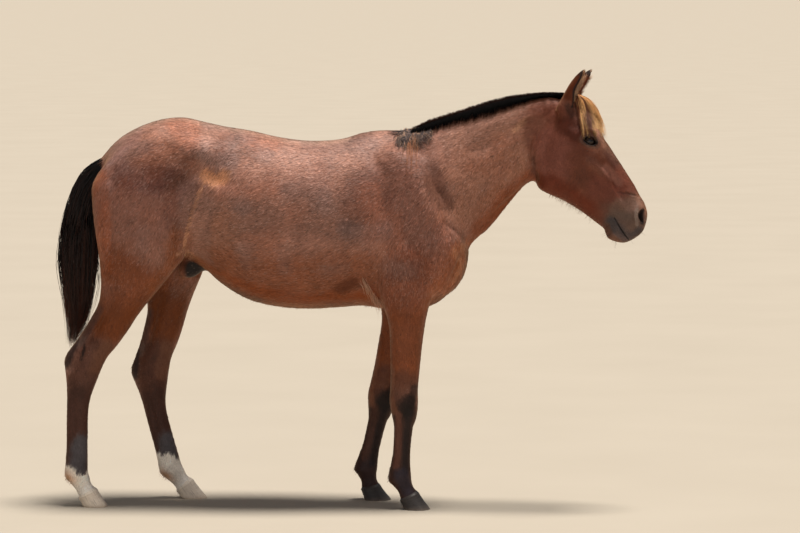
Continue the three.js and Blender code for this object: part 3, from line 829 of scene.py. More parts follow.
def skin_points():
    """The skin as points and quads: the blended body's surface, drawn in by the coat's depth, rounded
    where parts meet, then raised and sunk by the strokes."""
    level = vdb.FloatGrid(BAND * VOXEL)
    level.transform = vdb.createLinearTransform(voxelSize=VOXEL)
    level.copyFromArray(flesh_field(), ijk=GRID_FIRST)
    points, quads = level.convertToQuads(isovalue=-COAT_DEPTH)
    points, quads = points.astype(float), quads.astype(int)
    x = demagnified(points)[:, 0]
    z = demagnified(points)[:, 2]
    on_trunk = smooth_step(z, 0.60, 0.74) * (1 - smooth_step(x, 0.60, 0.72))
    points = smoothed(points, quads, SMOOTH_ROUNDS, on_trunk)
    points = smoothed(points, quads, 4, 1 - 0.75 * on_trunk)
    points = demagnified(points)
    normal = corner_normals(points, quads)
    points += normal * strokes_raise(points, normal)[:, None]
    points = smoothed(points, quads, 2, np.ones(len(points)))
    return turned(points), quads


# ---------------------------------------------------------------- noise, colours and zones
def lattice(cell, seed):
    """A number from 0 to 1 for each whole-number cell, the same every run."""
    cell = cell.astype(np.int64)
    mixed = cell[:, 0] * 73856093 ^ cell[:, 1] * 19349663 ^ cell[:, 2] * 83492791 ^ seed * 2654435761
    mixed = (mixed ^ (mixed >> 13)) * 1274126177 & 0x7FFFFFFF
    return (mixed ^ (mixed >> 16)) % 65536 / 65535.0


def noise(p, size, seed=0):
    """Smooth noise from 0 to 1: the eight corners of each cell blended by an S along each axis."""
    q = p / size
    base = np.floor(q)
    t = q - base
    t = t * t * (3 - 2 * t)
    out = np.zeros(len(p))
    for corner in range(8):
        step = np.array([corner & 1, corner >> 1 & 1, corner >> 2 & 1])
        share = np.prod(np.where(step, t, 1 - t), axis=1)
        out += share * lattice(base + step, seed)
    return out


def linear(colour):
    """A colour given as 0 to 255 in display values, as linear light."""
    c = np.array(colour, float) / 255
    return np.where(c <= 0.04045, c / 12.92, ((c + 0.055) / 1.055) ** 2.4)


ROAN = (158, 110, 93)
# Zones of colour seen on the side: a name, the colour, its reach, how strongly it covers, and the places
# (x, z) of its line. Each has a ragged edge. They are laid one over the other in this order.
# The black line of the mouth is painted shade in the crease between the lips.
# The dark band over the haunch, from hip to thigh, is painted shade.
# The dark fold behind the jaw is painted shade in the groove behind the jaw.
# The dark line before the shoulder and its upper end are painted shade in the crease before the shoulder.
# The dark low line of the shoulder is painted shade in the crease at the foot of the neck.
# The dark wrinkle over the nostril is painted shade in the crease of the wrinkle.
# The dark zone under the hip is painted shade in the groove under the hip.
# The light line behind the poll is a painted highlight, where light catches the long muscle of the neck.
# The orange of the belly edge is partly the coat's own tone and partly painted warm light bounced up from the
# ground.
# The pale line of the flank fold is a painted highlight along the ridge of the fold.
# The pale orange patch on the flank is painted light, a lit crescent at the flank.
# The pale rim of the breast is a painted highlight along the front edge of the chest.
# The pale rim of the stifle fold is a painted highlight on the edge of the fold.
# The pink of the croup and back is partly the roan coat's own tone and partly painted top light on the upward
# faces.
ZONES = read_zones("""
pink croup and back: 186 136 117 160 .75: -800 1270  -600 1360  -300 1300  20 1300
middle of the barrel: 130 92 78 95 .75: -380 1020  -180 1035  0 1020
behind the shoulder: 112 76 64 70 .7: 50 1120  20 980
haunch: 138 92 80 170 .8: -790 1120  -660 1050
dark of the haunch: 80 43 34 66 .85: -765 1165  -680 1155  -600 1145
thigh: 136 92 78 150 .75: -720 950  -660 880
buttock: 156 88 60 45 .8: -860 1140  -855 960  -840 840
lower thigh: 117 58 24 130 .85: -780 800  -720 720  -840 680
front of the thigh: 134 75 44 50 .8: -570 950  -600 840  -660 760
shade of the croup: 118 76 60 44 .8: -730 1225  -640 1245  -540 1232
shade of the loin: 126 80 62 42 .7: -430 1262  -330 1240
red of the croup: 186 110 78 50 .5: -600 1345  -540 1285
red of the loin: 180 110 82 50 .5: -320 1285  -270 1270
grey of the croup: 146 116 112 50 .6: -840 1235  -760 1300
patch before the hip: 124 95 88 27 .5: -490 1230  -440 1218  -385 1212
dark under the hip: 108 66 52 45 .6: -545 1190  -585 1110  -600 1030
shade behind the flank fold: 104 64 50 22 .6: -525 1120  -545 1050  -570 985
flank: 218 150 106 30 .8: -484 1160  -455 1146  -425 1158
flank fold: 206 146 108 6.5 .7: -497 1125  -516 1065  -538 1005  -556 950  -566 918
rim of the stifle fold: 206 150 116 5.5 .7: -590 886  -566 902  -540 878  -512 848
rear of the barrel: 150 100 78 100 .6: -470 1030  -450 880
lower barrel: 127 73 48 130 .85: -420 800  -200 780  50 800
belly edge: 136 66 28 60 .9: -520 820  -380 745  -180 705  80 712
behind the elbow: 88 42 20 26 .8: -20 772  20 792
shoulder: 123 79 66 150 .75: 160 1100  260 980  300 880
spot on the shoulder: 112 70 58 30 .45: 150 1095  125 1055
spot on the ribs: 112 66 50 28 .5: 85 950
arm: 124 69 48 110 .8: 220 840  190 740
breast: 150 80 40 55 .75: 400 900  360 800  310 730
rim of the breast: 190 130 96 10 .55: 366 905  392 855  362 795
neck: 160 110 89 140 .75: 600 1300  480 1220  400 1100
foot of the neck: 136 82 58 55 .6: 520 1090  460 1000
under the mane: 157 112 94 50 .7: 600 1370  460 1330  360 1280
fawn behind the poll: 206 152 120 13 .6: 700 1388  655 1374  610 1347  575 1315
throat edge: 126 60 25 60 .85: 630 1130  540 1040  460 950
dark line of the shoulder: 54 30 22 36 .7: 284 1182  300 1132  322 1092  338 1064
top of the shoulder line: 70 42 33 30 .6: 300 1168  318 1128
brown before the shoulder: 124 80 64 50 .5: 250 1220  330 1090
low line of the shoulder: 104 64 52 12 .6: 325 1000  368 968  392 935
withers: 96 72 66 18 .5: -4 1277  36 1290  72 1298
face: 105 56 40 130 1: 700 1330  760 1200  860 1150  930 1080
back of the cheek: 122 79 63 45 .5: 650 1335  646 1230
cheek: 136 80 67 75 .7: 700 1270  700 1180
jaw: 100 38 15 50 .85: 690 1130  760 1080  840 1020  880 980
behind the eye: 77 30 15 40 .8: 745 1335  775 1310
before the ear: 44 26 21 13 .6: 756 1392  768 1366
under the eye: 109 70 58 22 .55: 830 1215  870 1175
hollow of the cheek: 92 50 36 30 .5: 800 1170  830 1130  870 1100
side of the nose: 114 60 47 50 .65: 860 1120  920 1090
dark bridge of the nose: 68 43 41 26 .52: 893 1240  918 1205
pink patch of the nose: 160 108 95 20 .5: 885 1185  910 1160  930 1140
red bridge of the nose: 118 64 50 26 .45: 935 1180  975 1110
dark wrinkle of the nose: 84 44 34 6 .6: 925 1102  961 1097  990 1087
tip of the nose: 160 98 68 20 .8: 1000 1085  1016 1060  1020 1035
round the muzzle: 112 90 78 88 .34: 925 1010  965 1015  990 1030
over the lip: 140 116 102 42 .36: 930 1045  965 1045  985 1060
muzzle: 100 86 78 52 .62: 925 1000  965 990  990 995
lips: 72 68 71 28 .8: 908 995  935 960  960 940  990 950  1000 962
chin: 98 68 54 14 .7: 888 985  900 950  925 934
wing of the nostril: 158 140 130 6.5 .5: 992 1045  988 1018  993 990
nostril: 24 20 21 8.5 .95: 1010 1040  1005 1018  1010 996
mouth: 20 17 18 3.2 .95: 914 1012  924 999  938 972  963 937
fold behind the jaw: 70 40 30 9 .6: 636 1220  637 1180  650 1145
""")
# On the hind legs, the dark slit of the hock is painted shade in the hollow before the hamstring.
LEG_ZONES = {"fore": read_zones("""
forearm: 123 61 25 100 .85: 1.95 0  2.6 0
brown knee: 96 58 43 60 .8: 2.8 0  3.1 -10
dark lower leg: 55 36 31 70 .95: 3.15 6  3.5 0  4 0  5.1 0
dark front above the knee: 48 33 30 17 .8: 2.84 36  2.98 28  3.1 24
dark knee: 24 16 16 28 .78: 2.96 20  3.1 14
brown rear of the knee: 122 78 58 16 .8: 2.65 -45  2.95 -44  3.12 -30
brown of the cannon: 112 70 56 15 .7: 3.15 -14  3.55 -10  3.85 -12
black front of the cannon: 32 25 27 15 .75: 3.12 22  3.45 16  3.9 20
slate fetlock: 48 44 55 34 .75: 3.95 6  4.6 10
""", float), "hind": read_zones("""
gaskin: 109 53 17 120 .8: 2 0  2.5 10
brown hock: 78 46 36 75 .85: 2.85 10  3.15 0
dark lower leg: 67 40 33 85 .95: 3.35 0  4.1 0
dark hamstring: 78 54 48 26 .8: 2.5 -50  2.8 -50
point of the hock: 40 31 32 24 .9: 2.86 -66  3 -66
dark slit of the hock: 24 17 17 6 .85: 2.84 -27  2.95 -17
grey of the hock: 112 92 84 10 .45: 2.78 -46  2.86 -46
front of the hock: 112 72 54 28 .75: 2.75 40  2.98 36
above the sock: 84 84 90 40 .75: 3.72 10  3.95 6
""", float)}
FAINT_ON_THE_LEFT = {"brown of the cannon": 0.4, "slate fetlock": 0.4, "dark slit of the hock": 0.0}
LESS_ROAN = {"dark line of the shoulder": 0.9, "top of the shoulder line": 0.7, "belly edge": 0.6,
             "throat edge": 0.6, "flank": 0.4, "flank fold": 0.5, "behind the elbow": 0.9,
             "lower thigh": 0.5, "lower barrel": 0.3, "dark of the haunch": 0.3, "thigh": 0.3, "haunch": 0.2}
SOCK = (250, 241, 230)
SOCK_TAN = (196, 140, 94)
SOCK_TAN_HEIGHT = {"left": 0.084, "right": 0.106}
SOCK_TOP = {"left": 0.160, "right": 0.144}
LID_MARGIN = (26, 21, 21)
LID_SKIN = (84, 60, 50)
LID_LIGHT = (136, 108, 96)
EAR_BACK = (92, 40, 15)
# The ear's black tip and rim; along the outer edge of the opening it is partly painted shadow inside the
# opening.
EAR_RIM = (26, 19, 18)
EAR_HAIR = (184, 140, 108)
INNER_LEG = {"fore": (138, 82, 54), "hind": (84, 46, 24)}
SHEATH_SKIN = (30, 25, 26)
# Painted highlight: the pale colour laid along the back's topline, where the top light catches the ridge.
TOPLINE_HIGHLIGHT = (240, 202, 180)
SPECK_STRETCH = np.array([1.0, 1.0, 1.7])
RED_FLECK = (160, 92, 62)
GREY_FLECK = (126, 104, 100)


def over(base, colour, cover):
    """One colour laid over others by a share for each point."""
    return base + cover[:, None] * (linear(colour) - base)


def zone_cover(p, line, reach, strength, ragged):
    """How much a zone covers: whole to six tenths of its reach, then fading, the reach varied by noise."""
    box = np.array(line)
    out = np.zeros(len(p))
    near = np.flatnonzero(((p > box.min(0) - 1.6 * reach) & (p < box.max(0) + 1.6 * reach)).all(1))
    if len(near):
        away, _ = to_line(p[near], line)
        edge = reach * (0.72 + 0.56 * ragged[near])
        out[near] = strength * (1 - smooth_step(away / edge, 0.45, 1.15))
    return out


def straight(p):
    """Points of the finished horse brought back to the tables' frame, with the head unturned."""
    out = p - np.array([SHIFT_X, 0, 0])
    bend = turned(out) - out
    return out - bend


LEG_MASK_TOP = 0.78
MID_BODY = -0.30  # the place that parts the forelegs from the hind legs


def leg_masks(p):
    """For each leg: its kind, its name, its side, its joints and the points that are on it."""
    for kind, joints in LEG_JOINTS.items():
        for name, side in SIDES.items():
            on = (p[:, 1] * side > 0) & (p[:, 2] < LEG_MASK_TOP)
            on &= (p[:, 0] > MID_BODY) if kind == "fore" else (p[:, 0] < MID_BODY)
            yield kind, name, side, joints[name], on


def leg_middle(joints, z):
    """x of a leg's middle line at a height, by straight steps between its joints."""
    x, _, height = np.array(joints)[::-1].T
    return np.interp(z, height, x)


def eye_cover(p):
    """Shares of the lids' dark margin, their grey skin and the pale line under the eye, from how many
    times the opening's own outline each point lies away from the eye's middle."""
    margin, lid, line = np.zeros(len(p)), np.zeros(len(p)), np.zeros(len(p))
    for side in SIDES.values():
        aim, long_way, up = eye_axes(side)
        local = p - eye_middle(side)
        across, height, out = local @ long_way, local @ up, local @ aim
        away = np.hypot(across / EYE_HALF_LENGTH, height / lid_rise(height))
        near = (out > 0) * (p[:, 1] * side > 0)
        margin = np.maximum(margin, near * (1 - smooth_step(away, 1.12, 1.30)))
        lid = np.maximum(lid, near * (1 - smooth_step(away, 1.45, 2.05)))
        line = np.maximum(line, near * bell(np.abs(away - 1.48), 0.20) * (height < 0.002))
        line = np.maximum(line, 0.7 * near * bell(np.abs(away - 1.62), 0.14) * (height > 0.004))
    return margin, lid, line


def ear_cover(p):
    """Shares of ear back, rim and inner hair, from the place round and along each ear."""
    back, rim, inner = np.zeros(len(p)), np.zeros(len(p)), np.zeros(len(p))
    for name, side in SIDES.items():
        foot, tip, facing, across = ear_frame(name)
        span = tip - foot
        u = (p - foot) @ span / (span @ span)
        local = p - foot - u[:, None] * span
        a, f = local @ across, local @ facing
        on = (u > 0.08) & (np.hypot(a, f) < 0.034) & (p[:, 1] * side > 0)
        swell, limit = ear_section(u)
        out = np.hypot(a, f) / np.maximum(swell, 0.002)
        roll = np.abs(np.arctan2(a, -f))
        back += on * smooth_step(u, 0.08, 0.25)
        # The dark outer edge of the opening is partly the ear's dark rim and partly painted shadow inside the
        # opening; the black tip is the ear's own.
        edge = smooth_step(roll, limit - 0.50, limit - 0.20) * smooth_step(a * side, 0.0, 0.004)
        rim += on * np.maximum(edge, smooth_step(u, 0.74, 0.90))
        inner += on * (1 - smooth_step(out, 0.78, 0.90)) * smooth_step(u, 0.12, 0.25)
    return back, np.clip(rim, 0, 1), np.clip(inner, 0, 1)


def sheath_cover(p):
    """Share of the sheath's bare dark skin, from the distance to its middle."""
    middle = np.array(SHEATH[:3]) + np.array([0.012, 0.0, -0.006])
    away = np.linalg.norm((p - middle) / np.array([0.066, 0.06, 0.066]), axis=1)
    return np.clip(4.0 * bell(away, 1.0), 0, 1) * (p[:, 2] < 0.893)


def coat_colour(points):
    """The coat's linear colour at points of the finished horse, and how roan it is there."""
    p = straight(points)
    flat = p[:, [0, 2]]
    ragged = 0.6 * noise(p, 0.030, 1) + 0.4 * noise(p, 0.009, 2)
    colour = np.tile(linear(ROAN), (len(p), 1))
    roan = np.ones(len(p))
    for name, shade, line, reach, strength in ZONES:
        cover = zone_cover(flat, line, reach, strength, ragged)
        colour = over(colour, shade, cover)
        if line[0][0] > 0.68:
            roan *= 1 - 0.9 * cover
        elif name in LESS_ROAN:
            roan *= 1 - LESS_ROAN[name] * cover
    colour = over(colour, RED_FLECK, 0.26 * roan * smooth_step(noise(p, 0.085, 6), 0.50, 0.85))
    colour = over(colour, GREY_FLECK, 0.34 * (1 - 0.7 * smooth_step(p[:, 0], 0.15, 0.30)) * roan *
                  smooth_step(noise(p, 0.070, 7), 0.52, 0.85))
    # Painted highlight along the topline from croup to withers, near the middle, where the top light catches
    # the ridge.
    ridge = (1 - smooth_step(np.abs(p[:, 1]), 0.020, 0.080)) * smooth_step(p[:, 2], 1.18, 1.24)
    ridge = ridge * smooth_step(p[:, 0], -0.86, -0.76) * (1 - smooth_step(p[:, 0], -0.02, 0.03))
    colour = over(colour, TOPLINE_HIGHLIGHT, 0.28 * ridge)
    top = noise(p, 0.05, 3) - 0.5
    below = 1 - smooth_step(p[:, 2], 0.66, 0.778)
    for kind, name, side, joints, on in leg_masks(p):
        inside = on * smooth_step(p[:, 1] * -side, -0.112, -0.085) * (1 - smooth_step(p[:, 2], 0.70, 0.80))
        colour = over(colour, INNER_LEG[kind], 0.8 * inside)
        for zone, shade, line, reach, strength in LEG_ZONES[kind]:
            places = [leg_place(joints, t, ahead) for t, ahead in line]
            cover = zone_cover(flat, places, reach, strength, ragged) * on * below
            if name == "left" and zone in FAINT_ON_THE_LEFT:
                cover = FAINT_ON_THE_LEFT[zone] * cover
            colour = over(colour, shade, cover)
            roan *= 1 - 0.85 * cover
        if kind == "hind":
            ahead = p[:, 0] - leg_middle(joints, p[:, 2])
            edge = SOCK_TOP[name] + 0.022 * (noise(p, 0.012, 4) - 0.5)
            edge = edge - 0.032 * np.exp(-(((ahead - 0.018) / 0.026) ** 2)) * (p[:, 1] * side > 0.10)
            sock = on * (1 - smooth_step(p[:, 2], edge - 0.004, edge + 0.006))
            colour = over(colour, SOCK, sock)
            low = (p[:, 2] - SOCK_TAN_HEIGHT[name]) / 0.024
            tan = sock * np.exp(-(((ahead + 0.032) / 0.024) ** 2 + low ** 2))
            colour = over(colour, SOCK_TAN, 0.85 * tan)
            roan *= 1 - sock
    margin, lid, line = eye_cover(p)
    colour = over(colour, LID_SKIN, 0.65 * lid)
    colour = over(colour, LID_LIGHT, 0.22 * line)
    colour = over(colour, LID_MARGIN, margin)
    back, rim, inner = ear_cover(p)
    colour = over(colour, EAR_BACK, back)
    colour = over(colour, EAR_HAIR, inner)
    colour = over(colour, EAR_RIM, 0.95 * rim * (1 - 0.8 * inner))
    roan *= 1 - back
    colour = over(colour, SHEATH_SKIN, sheath_cover(p))
    speck = 0.48 * (noise(p * SPECK_STRETCH, 0.0060, 9) - 0.5) * (0.25 + 0.75 * roan)
    colour = colour * (1 + 0.26 * top + 0.22 * (noise(p, 0.014, 5) - 0.5) + speck)[:, None]
    return np.clip(colour, 0.0, 1.0), roan


# Guides for the way the hair lies: x, z, then the direction along x and z.
LAY_GUIDES = np.array([
    (0.790, 1.400, -0.4, 0.9), (0.830, 1.340, 0.4, -0.9), (0.900, 1.220, 0.55, -0.84),
    (0.990, 1.100, 0.5, -0.87), (0.980, 0.990, 0.1, -1.0), (0.910, 0.950, -0.6, -0.8),
    (0.860, 1.130, 0.30, -0.95), (0.770, 1.220, -0.10, -1.0), (0.700, 1.140, -0.5, -0.86),
    (0.730, 1.330, -0.5, -0.86), (0.620, 1.360, -0.85, -0.5), (0.600, 1.200, -0.5, -0.86),
    (0.500, 1.320, -0.85, -0.5), (0.450, 1.050, -0.45, -0.9), (0.350, 1.220, -0.75, -0.65),
    (0.250, 1.050, -0.55, -0.84), (0.330, 0.880, -0.25, -0.97), (0.180, 0.800, -0.10, -1.0),
    (0.140, 1.290, -0.95, -0.25), (0.000, 1.200, -0.90, -0.42), (-0.200, 1.020, -0.90, -0.42),
    (0.020, 0.820, -0.90, -0.40), (-0.250, 0.760, -1.0, -0.10), (-0.450, 0.830, -0.80, 0.40),
    (-0.500, 1.000, -0.45, -0.20), (-0.460, 1.170, -0.60, -0.80), (-0.350, 1.290, -0.96, -0.25),
    (-0.550, 1.330, -0.96, -0.25), (-0.720, 1.280, -0.85, -0.53), (-0.840, 1.180, -0.45, -0.90),
    (-0.720, 1.080, -0.60, -0.80), (-0.620, 0.920, -0.35, -0.93), (-0.760, 0.840, -0.45, -0.90),
])
LEG_LAY_TOP = 0.72


def hair_lay(points, normal):
    """The way the hair lies at each point, along the surface: the guides' directions weighed by the
    fourth power of their nearness, then straight down the legs, then laid on the surface."""
    p = straight(points)
    apart = (p[:, None, [0, 2]] - LAY_GUIDES[None, :, :2])
    weight = 1 / (np.einsum("ijk,ijk->ij", apart, apart) + 1e-4) ** 2
    way = weight @ LAY_GUIDES[:, 2:] / weight.sum(1, keepdims=True)
    way = np.stack([way[:, 0], 0 * way[:, 0], way[:, 1]], 1)
    down = smooth_step(-p[:, 2], -LEG_LAY_TOP, -LEG_LAY_TOP + 0.10)[:, None]
    way = way * (1 - down) + np.array([-0.05, 0.0, -1.0]) * down
    back, _, _ = ear_cover(p)
    way = np.where(back[:, None] > 0.3, np.array([0.3, 0.05, 0.95]), way)
    way = way - normal * np.einsum("ij,ij->i", way, normal)[:, None]
    return unit(way)


# ---------------------------------------------------------------- meshes
def mesh_piece(name, points, faces, colours=None, fields=(), uv=None, normals=None):
    """A mesh piece from arrays of points and faces of one size, linked to the scene and smooth. Colours
    go into the attribute tint, other fields into attributes of their own, a map into OFBake, and normals
    take the place of the mesh's own in its shading."""
    mesh = bpy.data.meshes.new(name)
    faces = np.ascontiguousarray(faces, dtype=np.int32)
    mesh.vertices.add(len(points))
    mesh.vertices.foreach_set("co", points.astype(np.float32).ravel())
    mesh.loops.add(faces.size)
    mesh.loops.foreach_set("vertex_index", faces.ravel())
    mesh.polygons.add(len(faces))
    mesh.polygons.foreach_set("loop_start", np.arange(0, faces.size, faces.shape[1], dtype=np.int32))
    mesh.update(calc_edges=True)
    mesh.validate()
    mesh.shade_smooth()
    if uv is not None:
        layer = mesh.uv_layers.new(name="OFBake")
        layer.uv.foreach_set("vector", uv[faces.ravel()].astype(np.float32).ravel())
    set_fields(mesh, colours, fields)
    if normals is not None:
        mesh.normals_split_custom_set_from_vertices(normals.astype(np.float32))
    piece = bpy.data.objects.new(name, mesh)
    bpy.context.scene.collection.objects.link(piece)
    return piece


def set_fields(mesh, colours, fields=()):
    """Writes point attributes: the tint, and any named numbers (one or three to a point)."""
    if colours is not None:
        rgba = np.concatenate([np.clip(colours, 0, 1), np.ones((len(colours), 1))], 1)
        tint = mesh.color_attributes.new("tint", "FLOAT_COLOR", "POINT")
        tint.data.foreach_set("color", rgba.astype(np.float32).ravel())
    for name, values in fields:
        kind, key = ("FLOAT", "value") if values.ndim == 1 else ("FLOAT_VECTOR", "vector")
        field = mesh.attributes.new(name, kind, "POINT")
        field.data.foreach_set(key, values.astype(np.float32).ravel())


def finish_piece(piece, slot, material, *nodes):
    """Gives a piece its material and its body, and hides the nodes that it stands for; the slot is not used.
    """
    piece.data.materials.clear()
    piece.data.materials.append(material)
    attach(piece, "root")
    if nodes:
        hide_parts(*nodes)
    return piece


def placed(p):
    """Points of the tables' frame carried to the finished horse: the head turned, then shifted."""
    return turned(p) + np.array([SHIFT_X, 0.0, 0.0])


def mesh_arrays(mesh):
    """Points, normals and triangles of a mesh."""
    points = np.empty(len(mesh.vertices) * 3, np.float32)
    mesh.vertices.foreach_get("co", points)
    normals = np.empty(len(mesh.vertices) * 3, np.float32)
    mesh.vertex_normals.foreach_get("vector", normals)
    mesh.calc_loop_triangles()
    triangles = np.empty(len(mesh.loop_triangles) * 3, np.int32)
    mesh.loop_triangles.foreach_get("vertices", triangles)
    return (points.reshape(-1, 3).astype(float), normals.reshape(-1, 3).astype(float),
            triangles.reshape(-1, 3))


# ---------------------------------------------------------------- unwraps of the skin
BODY_AXIS_Z = 1.00
NECK_AXIS = ((0.20, 1.06), (0.74, 1.30))
HEAD_AXIS = ((0.70, 1.34), (0.97, 0.95))
LEG_TOP = 0.70
EAR_STRIP = 0.90
PATCH = 0.003


LEG_SPREAD = 0.12  # the legs' distance from the middle of the body


def turn_share(y, x):
    """The angle of a direction, as a share of a whole turn."""
    return np.arctan2(y, x) / (2 * np.pi) + 0.5


def round_axis(p, axis):
    """Length along an axis and the angle round it, each from zero to one."""
    (x0, z0), (x1, z1) = axis
    run = np.array([x1 - x0, z1 - z0])
    length = np.hypot(*run)
    run = run / length
    offset = p[:, [0, 2]] - np.array([x0, z0])
    along = offset @ run / length
    out = offset @ np.array([-run[1], run[0]])
    return along, turn_share(p[:, 1], out)


def unwrapped(region, points):
    """Places on a cylinder unwrap of one region of the skin: the length along the part across and the
    angle round it up. Legs lie side by side, and the ears have a strip of their own."""
    p = straight(points)
    if region in ("forelegs", "hindlegs"):
        fore = p[:, 0] > MID_BODY
        left = p[:, 1] > 0
        u = np.zeros(len(p))
        for kind, _, side, joints, _ in leg_masks(p):
            turn = turn_share(p[:, 1] - LEG_SPREAD * side, p[:, 0] - leg_middle(joints, p[:, 2]))
            mine = (fore == (kind == "fore")) & (left == (side > 0))
            u = np.where(mine, turn, u)
        return np.stack([(left + 0.02 + 0.95 * u) / 2, 0.01 + 0.97 * p[:, 2] / (LEG_TOP + 0.05)], 1)
    if region == "head":
        along, turn = round_axis(p, HEAD_AXIS)
        back, _, _ = ear_cover(p)
        flat = np.stack([0.12 + 0.76 * along, 0.01 + (EAR_STRIP - 0.03) * turn], 1)
        ears = np.stack([(p[:, 1] > 0) * 0.5 + 0.02 + 0.45 * np.clip((p[:, 2] - 1.36) / 0.18, 0, 1),
                         EAR_STRIP + 0.01 + 0.08 * np.clip((p[:, 0] - 0.70) / 0.16, 0, 1)], 1)
        return np.where(back[:, None] > 0.5, ears, np.clip(flat, 0.005, 0.99))
    if region == "neck":
        along, turn = round_axis(p, NECK_AXIS)
        return np.clip(np.stack([0.1 + 0.8 * along, 0.01 + 0.97 * turn], 1), 0.004, 0.99)
    low, high = p[:, 0].min(), p[:, 0].max()
    turn = turn_share(p[:, 1], p[:, 2] - BODY_AXIS_Z)
    return np.stack([0.01 + 0.97 * (p[:, 0] - low) / max(high - low, 1e-6), 0.01 + 0.97 * turn], 1)


# ---------------------------------------------------------------- the short coat
# Regions of the coat, cut square to the body in the tables' frame.
QUARTERS_FRONT = -0.46
BARREL_FRONT = -0.06
FOREHAND_FRONT = 0.34
NECK_FRONT = 0.69
TUFT_SHOULDER = 0.40
TUFT_RISE = 0.0006
TUFT_TILT = 0.09
HEAD_THINNING = 0.10
TUFT_LIMIT = 49900


def region_of(points):
    """The coat region's name for each point."""
    p = straight(points)
    x, z = p[:, 0], p[:, 2]
    names = np.full(len(p), "quarters", dtype=object)
    names[x > QUARTERS_FRONT] = "barrel"
    names[x > BARREL_FRONT] = "forehand"
    names[x > FOREHAND_FRONT] = "neck"
    names[(x > NECK_FRONT) & (z > 0.85)] = "head"
    names[z < LEG_TOP] = "forelegs"
    names[(z < LEG_TOP) & (x < MID_BODY)] = "hindlegs"
    return names


# Where the coat grows longer and looser: a line (x, z), its reach, and how much it adds to both.
FRINGES = (
    ([(-0.46, 0.77), (-0.30, 0.705), (-0.10, 0.685), (0.10, 0.690)], 0.050, 0.004, 0.05),
    ([(0.63, 1.12), (0.50, 1.00), (0.42, 0.92)], 0.030, 0.001, 0.02),
    ([(0.70, 1.10), (0.80, 1.05), (0.89, 0.985)], 0.022, 0.002, 0.05),
    ([(0.37, 0.82), (0.31, 0.72)], 0.050, 0.003, 0.05),
    ([(-0.86, 1.10), (-0.85, 0.85), (-0.82, 0.72)], 0.040, 0.002, 0.03),
    ([(-0.96, 0.52), (-0.76, 0.46)], 0.030, 0.003, 0.05),
)
BODY_HAIR = 0.0165
EAR_HAIR_LENGTH = 0.0075
BODY_STAND = 0.03


def coat_sizes(points):
    """Length, width and how far the tips stand off, for the coat at each point: short on the face, ears
    and feet, longer and looser along the belly, the jaw, the breast and the backs of the legs."""
    p = straight(points)
    flat = p[:, [0, 2]]
    x, z = p[:, 0], p[:, 2]
    length = np.full(len(p), BODY_HAIR)
    stand = np.full(len(p), BODY_STAND)
    length = length - 0.003 * smooth_step(x, 0.30, 0.60)
    head = smooth_step(x, 0.60, 0.74)
    down_face = smooth_step(-z, -1.25, -0.98)
    length = length * (1 - head) + head * (0.0092 - 0.0040 * down_face)
    eye = np.linalg.norm((p - np.array(EYE)) * np.array([1, 0, 1]), axis=1)
    length *= 0.55 + 0.45 * smooth_step(eye, 0.022, 0.055)
    leg = smooth_step(-z, -0.62, -0.40)
    length = length * (1 - 0.36 * leg)
    length = length * (1 - 0.25 * smooth_step(-z, -0.16, -0.06))
    back, _, _ = ear_cover(p)
    length = np.where(back > 0.3, EAR_HAIR_LENGTH, length)
    for line, reach, longer, looser in FRINGES:
        cover = bell(to_line(flat, line)[0], reach)
        length += longer * cover
        stand += looser * cover
    width = 0.0007 + 0.140 * length
    return length, width, stand


def roots_on(mesh, rng, count):
    """Roots strewn over a mesh, and their normals. A triangle's chance is its area over a tuft's, so
    that short hair stands closer, and it is less on the head."""
    points, normals, faces = mesh_arrays(mesh)
    corner = points[faces]
    area = np.linalg.norm(np.cross(corner[:, 1] - corner[:, 0], corner[:, 2] - corner[:, 0]), axis=1) / 2
    middle = corner.mean(1)
    length, width, _ = coat_sizes(middle)
    weight = area / (length * width) * (1 - HEAD_THINNING * (straight(middle)[:, 0] > NECK_FRONT))
    chosen = pick(rng, weight, count)
    a, b = rng.random(count), rng.random(count)
    fold = a + b > 1
    a, b = np.where(fold, 1 - a, a), np.where(fold, 1 - b, b)
    share = np.stack([1 - a - b, a, b], 1)[:, :, None]
    return (share * points[faces[chosen]]).sum(1), unit((share * normals[faces[chosen]]).sum(1))


# The nostril's bare skin: its middle on the left side and its three radii.
NOSTRIL_BARE = ((1.012, 0.040, 1.018), (0.024, 0.020, 0.026))
LIP_LINE = [(0.914, 1.010), (0.936, 0.977), (0.963, 0.937)]
LIP_BARE = 0.0045
HORN_TOP = 0.046


def bare(points):
    """True where no coat grows: between the lids, in the nostrils, on the lips' line and under horn."""
    p = straight(points)
    out = np.zeros(len(p), bool)
    for side in SIDES.values():
        aim, long_way, up = eye_axes(side)
        local = p - eye_middle(side)
        across, height = local @ long_way, local @ up
        rise = lid_rise(height) + 0.0012
        out |= ((across / (EYE_HALF_LENGTH + 0.001)) ** 2 + (height / rise) ** 2 < 1) & (local @ aim > 0)
        (x, y, z), radii = NOSTRIL_BARE
        out |= (((p - np.array([x, y * side, z])) / np.array(radii)) ** 2).sum(1) < 1
    out |= to_line(p[:, [0, 2]], LIP_LINE)[0] < LIP_BARE
    out |= sheath_cover(p) > 0.5
    out |= p[:, 2] < HORN_TOP
    return out


